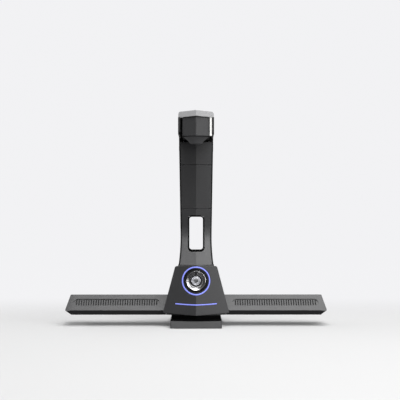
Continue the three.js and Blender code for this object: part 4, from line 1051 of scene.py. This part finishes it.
def makeShroud():
    centre = (0, head["lensY"], 0)
    shroud = turnedBody("lensShroud", [
        (6.6, 280.4), (7.2, 279.4), (8.0, 279.1), (8.8, 279.3), (9.6, 280.2), (10.0, 280.9), (11.2, 282.3),
        (12.6, 283.7), (14.2, 285.2), (15.8, 286.6), (17.4, 287.9), (18.6, 288.5), (19.2, 288.9),
        (6.6, 288.9), (6.6, 280.4),
    ], centre, "z")
    # The shroud's finish is painted light: a lighter graphite with a faint glow
    dress(shroud, "chinGraphitePaintedLight", "head", ["lens_shroud"], angle=35)


def makeGapStrips():
    # Both gap strips paint light and shade: the left one is painted-shade black for the shaded gap, the right
    # one glows white for the bright slit
    strips = [("left_gap_bar", "paintedShadeBlack", "black_plastic"), ("right_gap_light", "gapLight", "white_light")]
    for name, finish, slot in strips:
        low, high = (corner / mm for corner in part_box(name))
        low += Vector((-0.2, 0, -1.5))
        high.x += 0.2
        strip = slicedBody("strip" + name[:2], low, high, [])
        roundEdges(strip, 0.3)
        dress(strip, finish, "head", [name])


def makeHingeShims():
    hingeY, hingeZ = head["hinge"]
    start, inside, outside = head["shimFrom"], head["shimInner"], head["shimOuter"]
    angles = [math.radians(start + (180 - 2 * start) * k / 24) for k in range(25)]
    outline = [(hingeY + math.cos(a) * outside, hingeZ + math.sin(a) * outside) for a in angles]
    outline += [(hingeY + math.cos(a) * inside, hingeZ + math.sin(a) * inside) for a in reversed(angles)]
    for side, name in ((-1, "left"), (1, "right")):
        inner, outer = sorted((side * (head["blockHalf"] + 0.15), side * (head["blockHalf"] + 0.75)))
        shim = loopPrism(name + "HingeShim", [outline], inner, outer, lambda u, v, w: (w, u, v))
        dress(shim, "shellBlack", "stand")


makeLid()
makeHousing()
makeCheeks()
makeShroud()
makeGapStrips()
makeHingeShims()
print("head built")

# The foot, hollow under its mat, with a near-black sheet round the neck that paints the pod's shadow on the
# foot's top
foot = {
    "half": 39.0, "front": -58.558, "back": 71.44, "nose": 6.0, "low": 0.4, "high": 12.0, "backCut": 3.0,
    "matHalf": 36.3, "matFront": -55.86, "matBack": 68.74, "matDeep": 1.9,
    # Size of the near-black sheet that paints the shadow on the foot's top
    "shadowSheetHalf": 38.2, "shadowSheetLong": 12,
}


def makeFoot():
    rise = foot["high"]
    planes = [
        ((0, foot["front"], 0), (0, -rise, foot["nose"])),
        ((0, foot["back"], rise - foot["backCut"]), (0, 1, 1)),
        ((foot["half"] - 4, foot["back"], 0), (1, 1, 0)), ((4 - foot["half"], foot["back"], 0), (-1, 1, 0)),
    ]
    low, high = (-foot["half"], foot["front"], foot["low"]), (foot["half"], foot["back"], rise)
    shell = slicedBody("footShell", low, high, planes)
    roundEdges(shell, 0.9, 3)
    low, high = (-foot["matHalf"], foot["matFront"], -1), (foot["matHalf"], foot["matBack"], foot["matDeep"])
    mat = slicedBody("matRoom", low, high, [])
    carve(shell, [mat])
    dress(shell, "charcoal", "stand", ["foot_shell"])
    # A thin near-black sheet over the foot's top in front of the neck: painted shadow where the pod overhangs
    edge = foot["front"] + foot["nose"]
    half, rear = foot["shadowSheetHalf"], edge + foot["shadowSheetLong"]
    outline = [(-half, rear), (-half, edge - 0.6), (0, edge - 1.5), (half, edge - 0.6), (half, rear)]
    paintedShadowSheet = loopPrism("paintedNeckShadow", [outline], rise - 1.2, rise + 0.3, lambda u, v, w: (u, v, w))
    roundEdges(paintedShadowSheet, 0.3)
    dress(paintedShadowSheet, "paintedShadeBlack", "stand")


makeFoot()
print("foot built")
